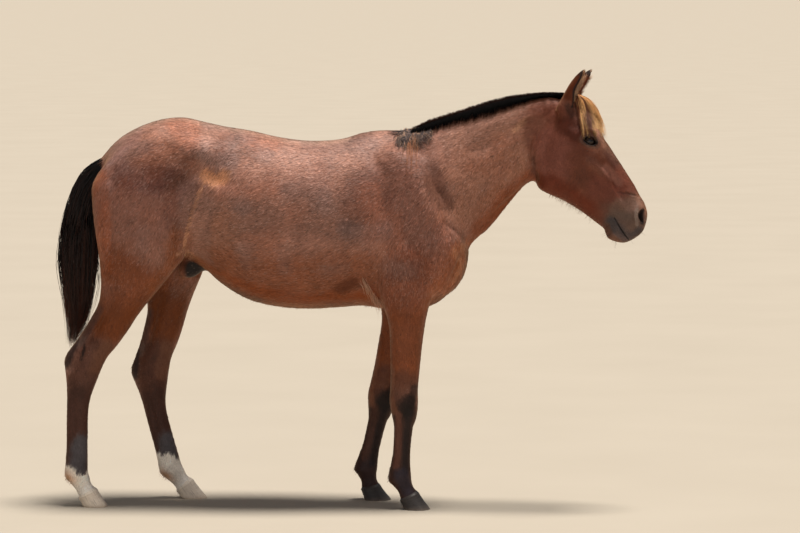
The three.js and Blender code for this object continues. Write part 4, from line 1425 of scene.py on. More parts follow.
def tufts(root, normal, way, length, width, stand, rng):
    """One closed flat tuft for each root, shaped like a kite: it starts in the skin, is widest a little
    way along, where it stands highest, and ends in a tip near the skin. Also the normals that it is
    shaded with, which are the skin's, each tuft's a little tilted."""
    side = np.cross(normal, way)
    way = unit(way + side * rng.normal(0, 0.15, (len(root), 1)))
    side = np.cross(normal, way)
    length, width, stand = length[:, None], width[:, None], stand[:, None]
    lift = rng.random((len(root), 1))
    base = root - normal * 0.0004
    middle = root + way * length * TUFT_SHOULDER + normal * (TUFT_RISE * (0.5 + lift) + 0.4 * length * stand)
    tip = root + way * length + side * length * rng.normal(0, 0.08, (len(root), 1))
    tip = tip + normal * (0.5 * TUFT_RISE + length * stand * (0.3 + lift))
    points = np.stack([base, middle + side * width / 2, middle - side * width / 2, tip], 1)
    root_i, left, right, tip_i = range(4)
    pattern = np.array([[root_i, right, left], [left, right, tip_i],
                        [root_i, left, tip_i], [root_i, tip_i, right]])
    faces = (np.arange(len(root))[:, None, None] * 4 + pattern).reshape(-1, 3)
    tilt = rng.normal(0, TUFT_TILT, (len(root), 2))
    shading = unit(normal + way * (tilt[:, :1] + 0.5 * stand) + side * tilt[:, 1:])
    return points.reshape(-1, 3), faces, np.repeat(shading, 4, axis=0)


TUFT_PATCH = np.array([(0.5, 0.0), (0.0, 0.4), (1.0, 0.4), (0.5, 1.0)]) - 0.5


def shades(count, roan, rng):
    """How light each tuft is, and how much of the pale hair it has: most are near the coat's own shade,
    some are dark and some are pale where the coat is roan."""
    light = np.exp(rng.normal(0, 1.0, count) * (0.09 + 0.05 * roan))
    draw = rng.random(count)
    dark = draw < 0.03 + 0.10 * roan
    light = np.where(dark, light * (0.58 + 0.24 * rng.random(count)), light)
    pale = (draw > 1 - 0.34 * roan) * (0.04 + 0.11 * rng.random(count)) * smooth_step(roan, 0.25, 0.7)
    return light, pale


PALE_HAIR = (205, 172, 160)


def tuft_colours(points, rng):
    """The coat's colour at each root, with each tuft's own shade."""
    colour, roan = coat_colour(points)
    light, pale = shades(len(points), roan, rng)
    colour = colour * light[:, None]
    return over(colour, PALE_HAIR, pale)


# ---------------------------------------------------------------- long hair
def sampled(grid, at):
    """Values of a table of rows at places that needn't be whole, by straight steps between rows."""
    i = np.clip(np.floor(at).astype(int), 0, len(grid) - 2)
    t = (at - i)[..., None]
    return grid[i] * (1 - t) + grid[i + 1] * t


def strands(paths, width, up=(0.0, 0.0, 1.0)):
    """Closed hairs with three sides, one along each path: a ring at every point but the last, which is
    the tip. Width is a number for each path and ring."""
    count, rings = paths.shape[:2]
    run = unit(np.gradient(paths, axis=1))
    side = np.cross(run, np.array(up))
    weak = np.linalg.norm(side, axis=-1, keepdims=True) < 0.15
    side = unit(np.where(weak, np.cross(run, np.array([0.0, 1.0, 0.0])), side))
    across = np.cross(side, run)
    turn = 2 * np.pi * np.arange(3) / 3
    ring = (np.cos(turn)[None, None, :, None] * side[:, :, None] +
            np.sin(turn)[None, None, :, None] * across[:, :, None])
    body = paths[:, :-1, None] + ring[:, :-1] * (width[:, :-1, None, None] / 2)
    points = np.concatenate([body.reshape(count, -1, 3), paths[:, -1:]], 1)
    per = points.shape[1]
    steps = []
    for r in range(rings - 2):
        for k in range(3):
            a, b = 3 * r + k, 3 * r + (k + 1) % 3
            steps += [(a, a + 3, b), (b, a + 3, b + 3)]
    last = 3 * (rings - 2)
    tip = per - 1
    steps += [(last + k, tip, last + (k + 1) % 3) for k in range(3)]
    steps.append((0, 1, 2))
    faces = (np.arange(count)[:, None, None] * per + np.array(steps)).reshape(-1, 3)
    along = np.append(np.repeat(np.arange(rings - 1), 3), rings - 1) / (rings - 1)
    around = np.append(np.tile([0.0, 0.5, 1.0], rings - 1), 0.5)
    return points.reshape(-1, 3), faces, along, around


def hair_piece(name, paths, width, colours, tip_colours, places, slot, material, *nodes, late=1.0):
    """A piece of long hair: strands whose colour runs from the root's to the tip's, the later along the
    hair the larger late is, each with a patch of the map at its root's place."""
    points, faces, along, around = strands(paths, width)
    share = along[None, :, None] ** late
    tint = colours[:, None] * (1 - share) + tip_colours[:, None] * share
    spread = np.stack([around - 0.5, along - 0.5], 1) * PATCH
    uv = np.clip(places[:, None] + spread[None], 0.001, 0.999)
    piece = mesh_piece(name, points, faces, tint.reshape(-1, 3), uv=uv.reshape(-1, 2))
    assert len(faces) < 200000, name
    return finish_piece(piece, slot, material, *nodes)


def section_place(rows, width, at, place, across):
    """Points inside a part's sections, at places along its rows that needn't be whole."""
    return in_section(np.moveaxis(sampled(rows, at), -1, 0), place, across, width)


def pick(rng, weight, count):
    """Indices drawn by their weights."""
    return rng.choice(len(weight), count, p=weight / weight.sum())


def taper(rings, root=0.75, full=0.25, power=1.0):
    """Width along a hair as a share: thinner at the root, full a quarter of the way, then to a point."""
    t = np.linspace(0, 1, rings)
    rise = root + (1 - root) * smooth_step(t, 0, full)
    return rise * (1 - smooth_step(t, full, 1.0) ** power * 0.88)


def in_disc(rng, count, power=0.5):
    """Places in a disc; a smaller power puts more of them near its edge."""
    radius = rng.random(count) ** power
    angle = rng.random(count) * 2 * np.pi
    return radius * np.cos(angle), radius * np.sin(angle)


TAIL_RINGS = 14
TAIL_LOCKS = 90
TAIL_BLACK = (14, 11, 12)
TAIL_BROWN = (54, 32, 24)
TAIL_RED = (124, 64, 42)


def tail_paths(count, rng):
    """Hairs of the tail. Each starts on the dock, joins its lock's line within the tail's sections and
    follows it down, drawn closer to the lock's middle toward its tip, with a slow wave."""
    rows = catmull_rom(filled(TAIL), 1)[:, :6]
    dock = catmull_rom(filled(DOCK), 1)[:, :6]
    lock = rng.integers(0, TAIL_LOCKS, count)
    lock_place, lock_across = in_disc(rng, TAIL_LOCKS, 0.33)
    lock_end = 12.0 - 3.2 * rng.random(TAIL_LOCKS) ** 1.7
    lock_wave = rng.random((TAIL_LOCKS, 3)) * 2 * np.pi
    start = 5.2 * rng.random(count) ** 1.15
    start = np.minimum(start, 5.2)
    t = np.linspace(0, 1, TAIL_RINGS)[None, :]
    end = lock_end[lock] - 1.6 * rng.random(count) ** 2
    at = start[:, None] + (end - start)[:, None] * t
    own_place, own_across = in_disc(rng, count, 0.5)
    spread = 0.55 - 0.38 * smooth_step(t, 0.15, 0.95)
    place = np.clip(lock_place[lock][:, None] * 0.80 + own_place[:, None] * spread, -1.02, 1.02)
    across = np.clip(lock_across[lock][:, None] * 0.90 + own_across[:, None] * spread, -1.02, 1.02)
    target = section_place(rows, TAIL_WIDTH, at, place, across)
    turn = np.arctan2(lock_across[lock] + 0.5 * own_across, lock_place[lock] + 0.5 * own_place)
    root = section_place(dock, TAIL_WIDTH, start, 0.82 * np.cos(turn), 0.82 * np.sin(turn))
    pull = 1 - smooth_step(at - start[:, None], 0.0, 2.4)
    paths = target + (root - target[:, 0])[:, None] * pull[..., None]
    wave = lock_wave[lock]
    size = 0.0045 * smooth_step(t, 0.1, 0.6)
    paths[..., 0] += size * np.sin(7.5 * t + wave[:, :1])
    paths[..., 1] += size * np.sin(6.2 * t + wave[:, 1:2])
    fly = (rng.random(count) < 0.10)[:, None] * rng.normal(0, 0.007, (count, 1)) * t ** 2
    paths[..., 0] += fly
    return paths, lock, turn, start


def hair_width(count, rng, least, more, rings, root=0.9, full=0.3):
    """Width of each hair at each ring: at least one width, up to so much more, tapered."""
    return (least + more * rng.random(count))[:, None] * taper(rings, root, full)[None, :]


# The half width of the head and neck, seen from the side: the farthest y in each cell of a grid.
RASTER_CELL = 0.005
RASTER_LOW = np.array([0.14, 0.88])
RASTER_SIZE = (190, 120)


def side_raster(skin):
    """Half widths of the head, neck and trunk over the side plane: from dense lofts of their tables, and
    from the finished skin's points, without the ears."""
    grids = [loft(HEAD, HEAD_WIDTH, 16, 300), loft(NECK, NECK_WIDTH, 24, 360),
             loft(TRUNK, BARREL_WIDTH, 24, 400)]
    own = straight(skin[0])
    own = own[~((own[:, 0] > NECK_FRONT) & (own[:, 2] > 1.395))]
    p = np.concatenate([grid.reshape(-1, 3) for grid in grids] + [own])
    cell = np.round((p[:, [0, 2]] - RASTER_LOW) / RASTER_CELL).astype(int)
    inside = ((cell >= 0) & (cell < RASTER_SIZE)).all(1)
    half = np.zeros(RASTER_SIZE)
    np.maximum.at(half, (cell[inside, 0], cell[inside, 1]), np.abs(p[inside, 1]))
    return half


def half_width_at(half, x, z):
    """The half width at places of the side plane, blended between cells."""
    u = np.clip((x - RASTER_LOW[0]) / RASTER_CELL, 0, RASTER_SIZE[0] - 1.001)
    v = np.clip((z - RASTER_LOW[1]) / RASTER_CELL, 0, RASTER_SIZE[1] - 1.001)
    i, j = u.astype(int), v.astype(int)
    s, t = u - i, v - j
    return ((half[i, j] * (1 - s) + half[i + 1, j] * s) * (1 - t) +
            (half[i, j + 1] * (1 - s) + half[i + 1, j + 1] * s) * t)


def bowed(start, control, end, rings):
    """Curves from starts to ends, pulled toward their controls: the square blend of the three."""
    t = np.linspace(0, 1, rings)[None, :, None]
    return (start[:, None] * (1 - t) ** 2 + control[:, None] * 2 * t * (1 - t) + end[:, None] * t ** 2)


MANE_RINGS = 5
# Along the crest: x, z of the mane's top edge, z of its lower edge on the right, and the crest's z.
MANE_LINE = np.array([
    (0.215, 1.320, 1.286, 1.302), (0.272, 1.348, 1.294, 1.318), (0.342, 1.370, 1.316, 1.341),
    (0.411, 1.392, 1.328, 1.366), (0.481, 1.415, 1.346, 1.388), (0.550, 1.431, 1.371, 1.406),
    (0.620, 1.440, 1.402, 1.419), (0.675, 1.4435, 1.422, 1.426), (0.715, 1.4430, 1.4290, 1.4250),
    (0.740, 1.4410, 1.4310, 1.4240),
])


def mane_paths(skin, count, rng):
    """Hairs of the short mane: each rises from the crest to the mane's top edge, then falls to the right
    over the side of the neck, or, for one in four, a little way to the left."""
    half = side_raster(skin)
    x = MANE_LINE[0, 0] + (MANE_LINE[-1, 0] - MANE_LINE[0, 0]) * rng.random(count)
    top, low, crest = (np.interp(x, MANE_LINE[:, 0], MANE_LINE[:, i]) for i in (1, 2, 3))
    layer = rng.random(count)
    right = rng.random(count) < 0.78
    side = np.where(right, RIGHT, LEFT)
    fall = np.where(right, layer, 0.60 * layer)
    clump = 0.003 * np.sin(x * 190.0 + 4.0 * noise(np.stack([x, x, x], 1), 0.03, 8))
    end_z = top + (low - top) * fall + rng.normal(0, 0.0018, count) * (0.4 + fall) + clump * fall
    rise = top - crest
    end_x = x - 0.010 * fall + rng.normal(0, 0.004, count) + clump
    on_skin = half_width_at(half, end_x, end_z)
    out = (np.maximum(on_skin, 0.004) + 0.0045 + 0.004 * (1 - layer)) * smooth_step(fall, 0.0, 0.28)
    start = np.stack([x, side * 0.010 * rng.random(count), crest - 0.006], 1)
    peak = top + 0.25 * rise - 0.30 * rise * layer * rng.random(count)
    control = np.stack([x - 0.002, side * (0.001 + 0.031 * fall), peak], 1)
    end = np.stack([end_x, side * out, end_z], 1)
    paths = bowed(start, control, end, MANE_RINGS)
    return paths, fall, x


FORELOCK_RINGS = 12
FORELOCK_LOCKS = 46
FORELOCK_ROOT = (0.762, 1.424)
FORELOCK_FRONT = ((0.864, 1.427), (0.889, 1.282))
FORELOCK_SIDE = ((0.792, 1.420), (0.803, 1.286))


def forelock_paths(skin, count, rng):
    """Hairs of the forelock, which fan out from the poll: those in front bow out over the forehead to
    between the eyes, and those at the sides fall nearly straight to above each eye. Locks draw together
    toward their tips, and each lies on the head or on the locks below."""
    half = side_raster(skin)
    fan = np.linspace(-1, 1, FORELOCK_LOCKS) + rng.normal(0, 0.02, FORELOCK_LOCKS)
    reach = 0.90 + 0.18 * rng.random(FORELOCK_LOCKS)
    lock = rng.integers(0, FORELOCK_LOCKS, count)
    layer = rng.random(count)
    wave = (rng.random((FORELOCK_LOCKS, 2)) * 2 * np.pi)[lock]
    f = np.clip(fan[lock] + rng.normal(0, 0.035, count), -1, 1)
    spread = np.abs(f)[:, None] ** 0.9
    depth = 0.84 + 0.18 * layer[:, None]
    front = [np.array(q) for q in FORELOCK_FRONT]
    aside = [np.array(q) for q in FORELOCK_SIDE]
    root = np.array(FORELOCK_ROOT) + np.stack([0.022 * rng.random(count), 0.012 * layer], 1)
    control = root + (front[0] * (1 - spread) + aside[0] * spread - root) * depth
    end = front[1] * (1 - spread) + aside[1] * spread
    end = root + (end - root) * (reach[lock] - 0.12 * rng.random(count) ** 2)[:, None]
    end = end + np.array([-0.010, 0.0]) * (1 - layer[:, None]) * (1 - spread)
    flat = bowed(root, control, end, FORELOCK_RINGS)
    t = np.linspace(0, 1, FORELOCK_RINGS)[None, :]
    gather = (fan[lock] - f)[:, None] * smooth_step(t, 0.3, 1.0) * 0.8
    turn = f[:, None] + gather
    wide = half_width_at(half, flat[..., 0], flat[..., 1])
    wide = np.where(wide > 0.001, wide + 0.007 + 0.006 * layer[:, None], 0.0)
    wide = np.maximum(wide, 0.052 * np.abs(turn))
    wide[:, 1:-1] = (wide[:, :-2] + wide[:, 1:-1] + wide[:, 2:]) / 3
    y = np.sign(turn) * wide * smooth_step(t + 0.35, 0.0, 0.6)
    paths = np.stack([flat[..., 0], y, flat[..., 1]], -1)
    size = 0.0030 * t
    paths[..., 1] += size * np.sin(8.0 * t + wave[:, :1])
    paths[..., 0] += size * np.sin(7.0 * t + wave[:, 1:2])
    return paths, f, layer, lock


WITHERS_RINGS = 12
WITHERS_LOCKS = 84
CURL_TURNS = 2.0


def withers_paths(skin, count, rng):
    """The loose rear end of the mane: small curled locks that leave the crest and hang over its right
    side, and a few long single strands that fall down the shoulder."""
    half = side_raster(skin)
    t = np.linspace(0, 1, WITHERS_RINGS)[None, :]
    lock_x = 0.186 + 0.082 * rng.random(WITHERS_LOCKS)
    lock_fall = 0.026 + 0.048 * rng.random(WITHERS_LOCKS)
    lock_drift = rng.normal(-0.008, 0.020, WITHERS_LOCKS)
    lock_phase = rng.random(WITHERS_LOCKS) * 2 * np.pi
    lock_turns = CURL_TURNS * (0.6 + 0.8 * rng.random(WITHERS_LOCKS))
    lock_drop = 0.030 * rng.random(WITHERS_LOCKS)
    lock = rng.integers(0, WITHERS_LOCKS, count)
    long_one = rng.random(count) < 0.045
    flat_one = ~long_one & (rng.random(count) < 0.16)
    x0 = lock_x[lock] + rng.normal(0, 0.005, count)
    z0 = 1.318 + 0.30 * np.maximum(x0 - 0.20, 0) - np.where(long_one | flat_one, 0.006, lock_drop[lock])
    fall = lock_fall[lock] * (0.8 + 0.3 * rng.random(count))
    fall = np.where(long_one, 0.090 + 0.150 * rng.random(count) ** 1.2, fall)
    fall = np.where(flat_one, 0.004 + 0.016 * rng.random(count), fall)
    x0 = np.where(long_one, 0.190 + 0.046 * rng.random(count), x0)
    x0 = np.where(flat_one, 0.190 + 0.030 * rng.random(count), x0)
    loose, close = rng.normal(-0.002, 0.010, count), rng.normal(0, 0.002, count)
    drift = np.where(long_one, loose, lock_drift[lock] + close)
    drift = np.where(flat_one, -0.035 - 0.045 * rng.random(count), drift)
    px = x0[:, None] + drift[:, None] * t
    rise = np.where(long_one, 0.002, 0.004)[:, None] * np.sin(np.pi * np.minimum(t * 1.5, 1))
    pz = z0[:, None] + rise - fall[:, None] * t ** 1.35
    curl = np.where(long_one | flat_one, 0.0012, 0.0070)[:, None] * smooth_step(t, 0.05, 0.5)
    phase = lock_phase[lock][:, None] + rng.normal(0, 0.30, (count, 1))
    turns = 2 * np.pi * lock_turns[lock][:, None] * t
    px = px + curl * np.cos(turns + phase)
    pz = pz + 0.8 * curl * np.sin(turns + phase)
    columns = RASTER_LOW[0] + RASTER_CELL * np.arange(RASTER_SIZE[0])
    ridge = RASTER_LOW[1] + RASTER_CELL * (RASTER_SIZE[1] - 1 - np.argmax(half[:, ::-1] > 0.012, axis=1))
    pz = np.minimum(pz, np.interp(px, columns, ridge) + np.where(flat_one | long_one, -0.002, 0.010)[:, None])
    off = half_width_at(half, px, pz) + 0.005 + 0.008 * rng.random((count, 1)) * np.sin(np.pi * t)
    py = -np.maximum(off * smooth_step(t, 0.0, 0.22), 0.010)
    return np.stack([px, py, pz], -1), long_one, flat_one


# Longer hairs of the coat: a name, points (x, z) of the line they grow along, its reach, how many to
# each side, their length, how they hang (x, out, z) and their colour.
GUARD_LINES = (
    ("belly", [(-0.40, 0.735), (-0.20, 0.695), (0.02, 0.690), (0.10, 0.700)], 0.030, 90, 0.009,
     (-0.85, 0.05, -0.50), (150, 104, 74)),
    ("fan behind the elbow", [(0.045, 0.800), (0.065, 0.765), (0.095, 0.720)], 0.016, 190, 0.030,
     (0.42, 0.10, -0.90), (206, 164, 136)),
    ("jaw", [(0.70, 1.095), (0.78, 1.055), (0.86, 1.005)], 0.012, 90, 0.015, (-0.45, 0.05, -0.88),
     (140, 96, 70)),
    ("fold of the flank", [(-0.565, 0.89), (-0.55, 0.86)], 0.016, 40, 0.010,
     (-0.30, 0.10, -0.95), (190, 144, 110)),
)
FETLOCK_TUFTS = (("fore", 3.98, -0.044, 80, 0.009), ("hind", 4.02, -0.044, 80, 0.009),
                 ("hind", 2.95, -0.070, 20, 0.009))
CORONET_HAIRS = 420
CORONET_REACH = 0.011
CORONET_LENGTH = 0.013
GUARD_RINGS = 5


def hanging(root, normal, way, length, rng, stand=0.30):
    """Short hairs that leave the skin along its normal and bend over to their way."""
    t = np.linspace(0, 1, GUARD_RINGS)[None, :, None]
    way = unit(way + rng.normal(0, 0.16, way.shape))
    off = normal[:, None] * length[:, None, None] * stand * np.sin(np.pi / 2 * t)
    return root[:, None] - normal[:, None] * 0.001 + off + way[:, None] * length[:, None, None] * t ** 1.15


def guard_hairs(skin, rng):
    """Roots, paths and colours of the longer hairs that stand out of the coat on either side."""
    points, normals, _ = skin
    p = straight(points)
    flat = p[:, [0, 2]]
    roots, paths, colours = [], [], []

    def grow(chosen, hang, side, length, colour):
        way = np.tile(unit(np.array([hang[0], hang[1] * side, hang[2]])), (len(chosen), 1))
        size = length * np.exp(rng.normal(0, 0.25, len(chosen)))
        roots.append(points[chosen])
        paths.append(hanging(points[chosen], normals[chosen], way, size, rng))
        shade = np.exp(rng.normal(0, 0.25, len(chosen)))[:, None]
        colours.append(np.clip(colour * shade, 0, 1))

    for _, line, reach, count, length, hang, colour in GUARD_LINES:
        cover = bell(to_line(flat, line)[0], reach)
        for side in SIDES.values():
            weight = cover * (p[:, 1] * side > -0.004)
            chosen = pick(rng, weight, count)
            grow(chosen, hang, side, length, linear(colour))
    for kind, place, ahead, count, length in FETLOCK_TUFTS:
        for which, _, side, joints, on in leg_masks(p):
            if which != kind:
                continue
            spot = leg_place(joints, place, ahead)
            far = np.hypot(*(flat - spot).T) + 0.35 * np.abs(p[:, 1] - LEG_SPREAD * side)
            weight = bell(far, 0.040) * on
            chosen = pick(rng, weight, count)
            grow(chosen, (-0.30, 0.0, -0.95), side, length, coat_colour(points[chosen])[0])
    for kind, _, side, joints, on in leg_masks(p):
        front_x, front_z, rear_x, rear_z = leg_rows(joints, [LEG_ROWS[kind][-1]], side)[0][:4]
        rim = [(front_x, front_z), (rear_x, rear_z)]
        weight = (to_line(flat, rim)[0] < CORONET_REACH) * on
        chosen = pick(rng, weight, CORONET_HAIRS)
        grow(chosen, (0.30, 0.0, -0.95), side, CORONET_LENGTH, coat_colour(points[chosen])[0])
    paths = np.concatenate(paths)
    paths[..., 2] = np.maximum(paths[..., 2], 0.001)
    return np.concatenate(roots), paths, np.concatenate(colours)


EAR_HAIRS = 420
LASHES = 70


def ear_hairs(rng):
    """Pale hairs inside both ears: from the inner wall they lean outward and up across the opening."""
    paths = []
    count = EAR_HAIRS
    for name in SIDES:
        foot, tip, facing, across = ear_frame(name)
        u = 0.10 + 0.66 * rng.random(count) ** 0.8
        swell, roll = ear_section(u)
        turn = (0.35 + 0.62 * rng.random(count)) * roll * np.where(rng.random(count) < 0.5, 1, -1)
        inner = swell - EAR_WALL * 0.9
        root = foot + u[:, None] * (tip - foot) - facing * (np.cos(turn) * inner * 1.05)[:, None]
        root = root + across * (np.sin(turn) * inner)[:, None]
        goal = foot + np.minimum(u + 0.10 + 0.14 * rng.random(count), 0.97)[:, None] * (tip - foot)
        goal = goal + facing * (swell * (0.30 + 0.5 * rng.random(count)))[:, None]
        goal = goal + across * (np.sin(turn) * inner * 0.55)[:, None]
        t = np.linspace(0, 1, GUARD_RINGS)[None, :, None]
        arch = facing * (0.004 * np.sin(np.pi * t))
        paths.append(placed(root[:, None] * (1 - t) + goal[:, None] * t + arch))
    return np.concatenate(paths)


def lashes(rng):
    """Lashes of both eyes, from the upper lid's edge outward and a little down."""
    paths = []
    count = LASHES
    for side in SIDES.values():
        aim, long_way, up = eye_axes(side)
        angle = np.radians(28 + 128 * rng.random(count))
        across, height = almond(angle, 0.0016)
        out = np.sqrt(np.maximum(LID_RADIUS ** 2 - across ** 2 - height ** 2, 1e-6))
        root = eye_place(side, across, height, out[:, None])
        length = 0.010 + 0.006 * rng.random(count)
        fan = 0.25 * long_way * (across / EYE_HALF_LENGTH)[:, None]
        way = unit(aim + fan + rng.normal(0, 0.1, (count, 3)))
        t = np.linspace(0, 1, GUARD_RINGS)[None, :, None]
        drop = -up * (0.45 * t ** 2 - 0.12 * t)
        paths.append(placed(root[:, None] + (way[:, None] * t + drop) * length[:, None, None]))
    return np.concatenate(paths)


def whiskers(skin, rng):
    """Single long feelers on the lips, the chin and round the eyes."""
    points, normals, _ = skin
    p = straight(points)
    flat = p[:, [0, 2]]
    paths = []
    spots = (([(0.93, 0.96), (0.965, 0.945), (0.995, 0.965)], 0.018, 12, 0.024),
             ([(0.895, 0.955), (0.925, 0.935)], 0.014, 9, 0.022),
             ([(0.81, 1.245), (0.85, 1.238)], 0.010, 4, 0.020), ([(0.82, 1.325)], 0.012, 3, 0.018))
    for line, reach, count, length in spots:
        cover = bell(to_line(flat, line)[0], reach)
        for side in SIDES.values():
            weight = cover * (p[:, 1] * side > 0.006)
            chosen = pick(rng, weight, count)
            way = unit(normals[chosen] + np.array([0.25, 0.0, -0.35]))
            size = length * (0.6 + 0.6 * rng.random(count))
            paths.append(hanging(points[chosen], normals[chosen], way, size, rng, 0.5))
    return np.concatenate(paths)


# ---------------------------------------------------------------- eyes and hooves
EYE_RINGS = 40
EYE_SIDES = 56
CORNEA_BULGE = 0.0016
CORNEA_REACH = 0.85
LID_TUBE = 0.0011


def eyeball(side):
    """An eye as rings round its aim: a sphere whose front is raised by a bell for the cornea. Also each
    point's place in the eye: toward the nose, up, and out, in radii."""
    aim = eye_axes(side)[0]
    level = np.array([1.0, 0.0, -0.10])
    level = unit(level - aim * (level @ aim))
    rise = np.cross(level, aim)
    rise = unit(rise * np.sign(rise[2]))
    polar = (np.linspace(0.02, 1, EYE_RINGS) ** 1.25 * (np.pi - 0.02))[:, None]
    angle = np.linspace(0, 2 * np.pi, EYE_SIDES, endpoint=False)[None, :]
    out = np.cos(polar) + 0 * angle
    flat = np.stack([np.sin(polar) * np.cos(angle), np.sin(polar) * np.sin(angle), out], -1)
    radius = EYE_RADIUS - 0.0006 + CORNEA_BULGE * bell(polar + 0 * angle, CORNEA_REACH)
    body = flat * radius[..., None]
    grid = eye_middle(side) + body[..., :1] * level + body[..., 1:2] * rise + body[..., 2:] * aim
    poles = np.array([[0, 0, 1.0], [0, 0, -1.0]])
    return grid, np.concatenate([flat.reshape(-1, 3), poles])


def tube(path, radius, sides=10):
    """Rings of a round tube along a closed path, each square to it. Radius is one number for each place."""
    run = unit(np.roll(path, -1, 0) - np.roll(path, 1, 0))
    middle = path.mean(0)
    out = unit(path - middle)
    out = unit(out - run * np.einsum("ij,ij->i", out, run)[:, None])
    other = np.cross(run, out)
    angle = np.linspace(0, 2 * np.pi, sides, endpoint=False)[None, :, None]
    ring = np.cos(angle) * out[:, None] + np.sin(angle) * other[:, None]
    return path[:, None] + radius[:, None, None] * ring


def torus_faces(rings, sides):
    """Quads of a grid that closes on itself both ways."""
    r, i = np.meshgrid(np.arange(rings), np.arange(sides), indexing="ij")
    after_r, after_i = (r + 1) % rings, (i + 1) % sides
    return np.stack([r * sides + i, r * sides + after_i, after_r * sides + after_i, after_r * sides + i],
                    -1).reshape(-1, 4)


def lid_rim(side):
    """The moist edge of the lids: a tube round the almond, on the surface of the lids, with a wider
    patch at the inner corner."""
    angle = np.linspace(0, 2 * np.pi, 72, endpoint=False)
    across, height = almond(angle, 0.0004)
    out = np.sqrt((LID_RADIUS - 0.0026) ** 2 - across ** 2 - height ** 2)
    path = eye_place(side, across, height, out[:, None])
    corner = [0.9 * np.exp(-(((angle - turn) / 0.35) ** 2)) for turn in (0, 2 * np.pi)]
    return tube(path, LID_TUBE * (1 + corner[0] + corner[1]))


HOOF_WALL_RINGS = 34
HOOF_SIDES = 64
HOOF_LIP = 0.0012
WALL_THICK = 0.009
GROWTH_RINGS = (23.0, 0.00022)


SOLE_RINGS = (0.5, 1.0, 1.06, 1.5, 2.2, 3.1, 4.0)  # in thicknesses of the wall, in from the edge
SOLE_HOLLOW = 0.0045


def hoof(kind, name):
    """A hoof as rings: from inside the skin up over the coronet, down the wall with its growth rings to
    the ground, in under the wall's rim, and over the hollow sole with its frog. Also each point's angle
    and share of the height."""
    side = SIDES[name]
    toe, heel = HOOF_RUNS[kind, name]
    fx, fz, rx, rz, share, y = leg_rows(LEG_JOINTS[kind][name], [LEG_ROWS[kind][-1]], side)[0][:6]
    up = unit(np.array([-(fz - rz), fx - rx]))
    up = up * np.sign(up[1])
    inner = [fx - 0.004 + up[0] * 0.008, fz + up[1] * 0.008, rx + 0.004 + up[0] * 0.008,
             rz + up[1] * 0.008, share * 0.86, y, 0, 2, 2.3]
    lip = [fx + 0.0006, fz - 0.001, rx - 0.0006, rz - 0.001, share * 1.01, y, 0, 2, 2.3]
    sole = [fx + toe, 0.0, rx + heel, 0.0, SOLE_HALF[kind] / (LEG_WIDTH / 2), y, 0, 2.3, 2.6]
    t = np.linspace(0, 1, HOOF_WALL_RINGS)[:, None]
    wall = np.array(lip) * (1 - t) + np.array(sole) * t
    flare = 0.0022 * (np.sin(np.pi * t) * -0.55 + 0.7 * t ** 3 * (1 - t) * 2)
    wall[:, [0]] += flare
    wall[:, [2]] -= 0.6 * flare
    rows = np.concatenate([[inner], wall])
    row = rows.T[:, :, None]
    angle = np.linspace(0, 2 * np.pi, HOOF_SIDES, endpoint=False)[None, :]
    along, across = rounded(angle, *row[7:])
    heel_notch = 1 - 0.10 * np.exp(-(((angle - np.pi) / 0.20) ** 2)) * np.linspace(0, 1, len(rows))[:, None]
    grid = in_section(row, along * heel_notch, across, LEG_WIDTH)
    centre = grid.mean(1, keepdims=True)
    number, size = GROWTH_RINGS
    ripple = size * np.sin(2 * np.pi * number * t + 0.5 * np.cos(angle))
    ripple = ripple * np.sin(np.pi * np.clip(t, 0.02, 0.97))
    lip_swell = HOOF_LIP * np.exp(-((t / 0.07) ** 2))
    out = unit((grid - centre) * np.array([1.0, 1.0, 0.0]))
    grid[1:] += out[1:] * (ripple + lip_swell)[..., None]
    grid[..., 2] = np.maximum(grid[..., 2], 0.0)
    edge = grid[-1]
    middle = edge.mean(0)
    length = np.linalg.norm(edge - middle, axis=1, keepdims=True)
    under = []
    for share_in in SOLE_RINGS:
        pull = np.minimum(WALL_THICK * share_in / length, 0.93)
        ring = edge + (middle - edge) * pull
        deep = SOLE_HOLLOW * smooth_step(share_in, 1.0, 1.56)
        back = (middle[0] - ring[:, 0]) / (length.max())
        frog = np.exp(-((ring[:, 1] - middle[1]) / (0.010 + 0.010 * np.clip(back, 0, 1))) ** 2)
        frog = frog * smooth_step(back, -0.45, -0.05)
        ring[:, 2] = deep * (1 - 0.75 * frog)
        under.append(ring)
    full = np.concatenate([grid, np.array(under)])
    level = np.concatenate([[0.0], t[:, 0], np.full(len(under), 1.0)])
    horn = np.stack(np.broadcast_arrays(np.cos(angle), np.sin(angle), level[:, None]), -1)
    ends = np.array([[0, 0, 0.0], [0, 0, 1.0]])
    return full, np.concatenate([horn.reshape(-1, 3), ends])


# ---------------------------------------------------------------- materials
def adds(operation, reflected=False):
    """An operator on sockets: it adds the Math node that does it, reflected where the socket is second."""
    def operator(self, other):
        values = (other, self) if reflected else (self, other)
        return self.tree.node("ShaderNodeMath", {"operation": operation}, dict(enumerate(values)))
    return operator


class Value:
    """A shader socket that takes part in sums: each operation adds the Math node that does it."""

    __add__ = __radd__ = adds("ADD")
    __mul__ = __rmul__ = adds("MULTIPLY")
    __sub__ = adds("SUBTRACT")
    __rsub__ = adds("SUBTRACT", True)
    __truediv__ = adds("DIVIDE")
    __pow__ = adds("POWER")

    def __init__(self, tree, socket):
        self.tree = tree
        self.socket = socket

    def step(self, low, high):
        """An S from zero at low to one at high."""
        settings = {"interpolation_type": "SMOOTHSTEP"}
        return self.tree.node("ShaderNodeMapRange", settings, {0: self, 1: low, 2: high, 3: 0.0, 4: 1.0})


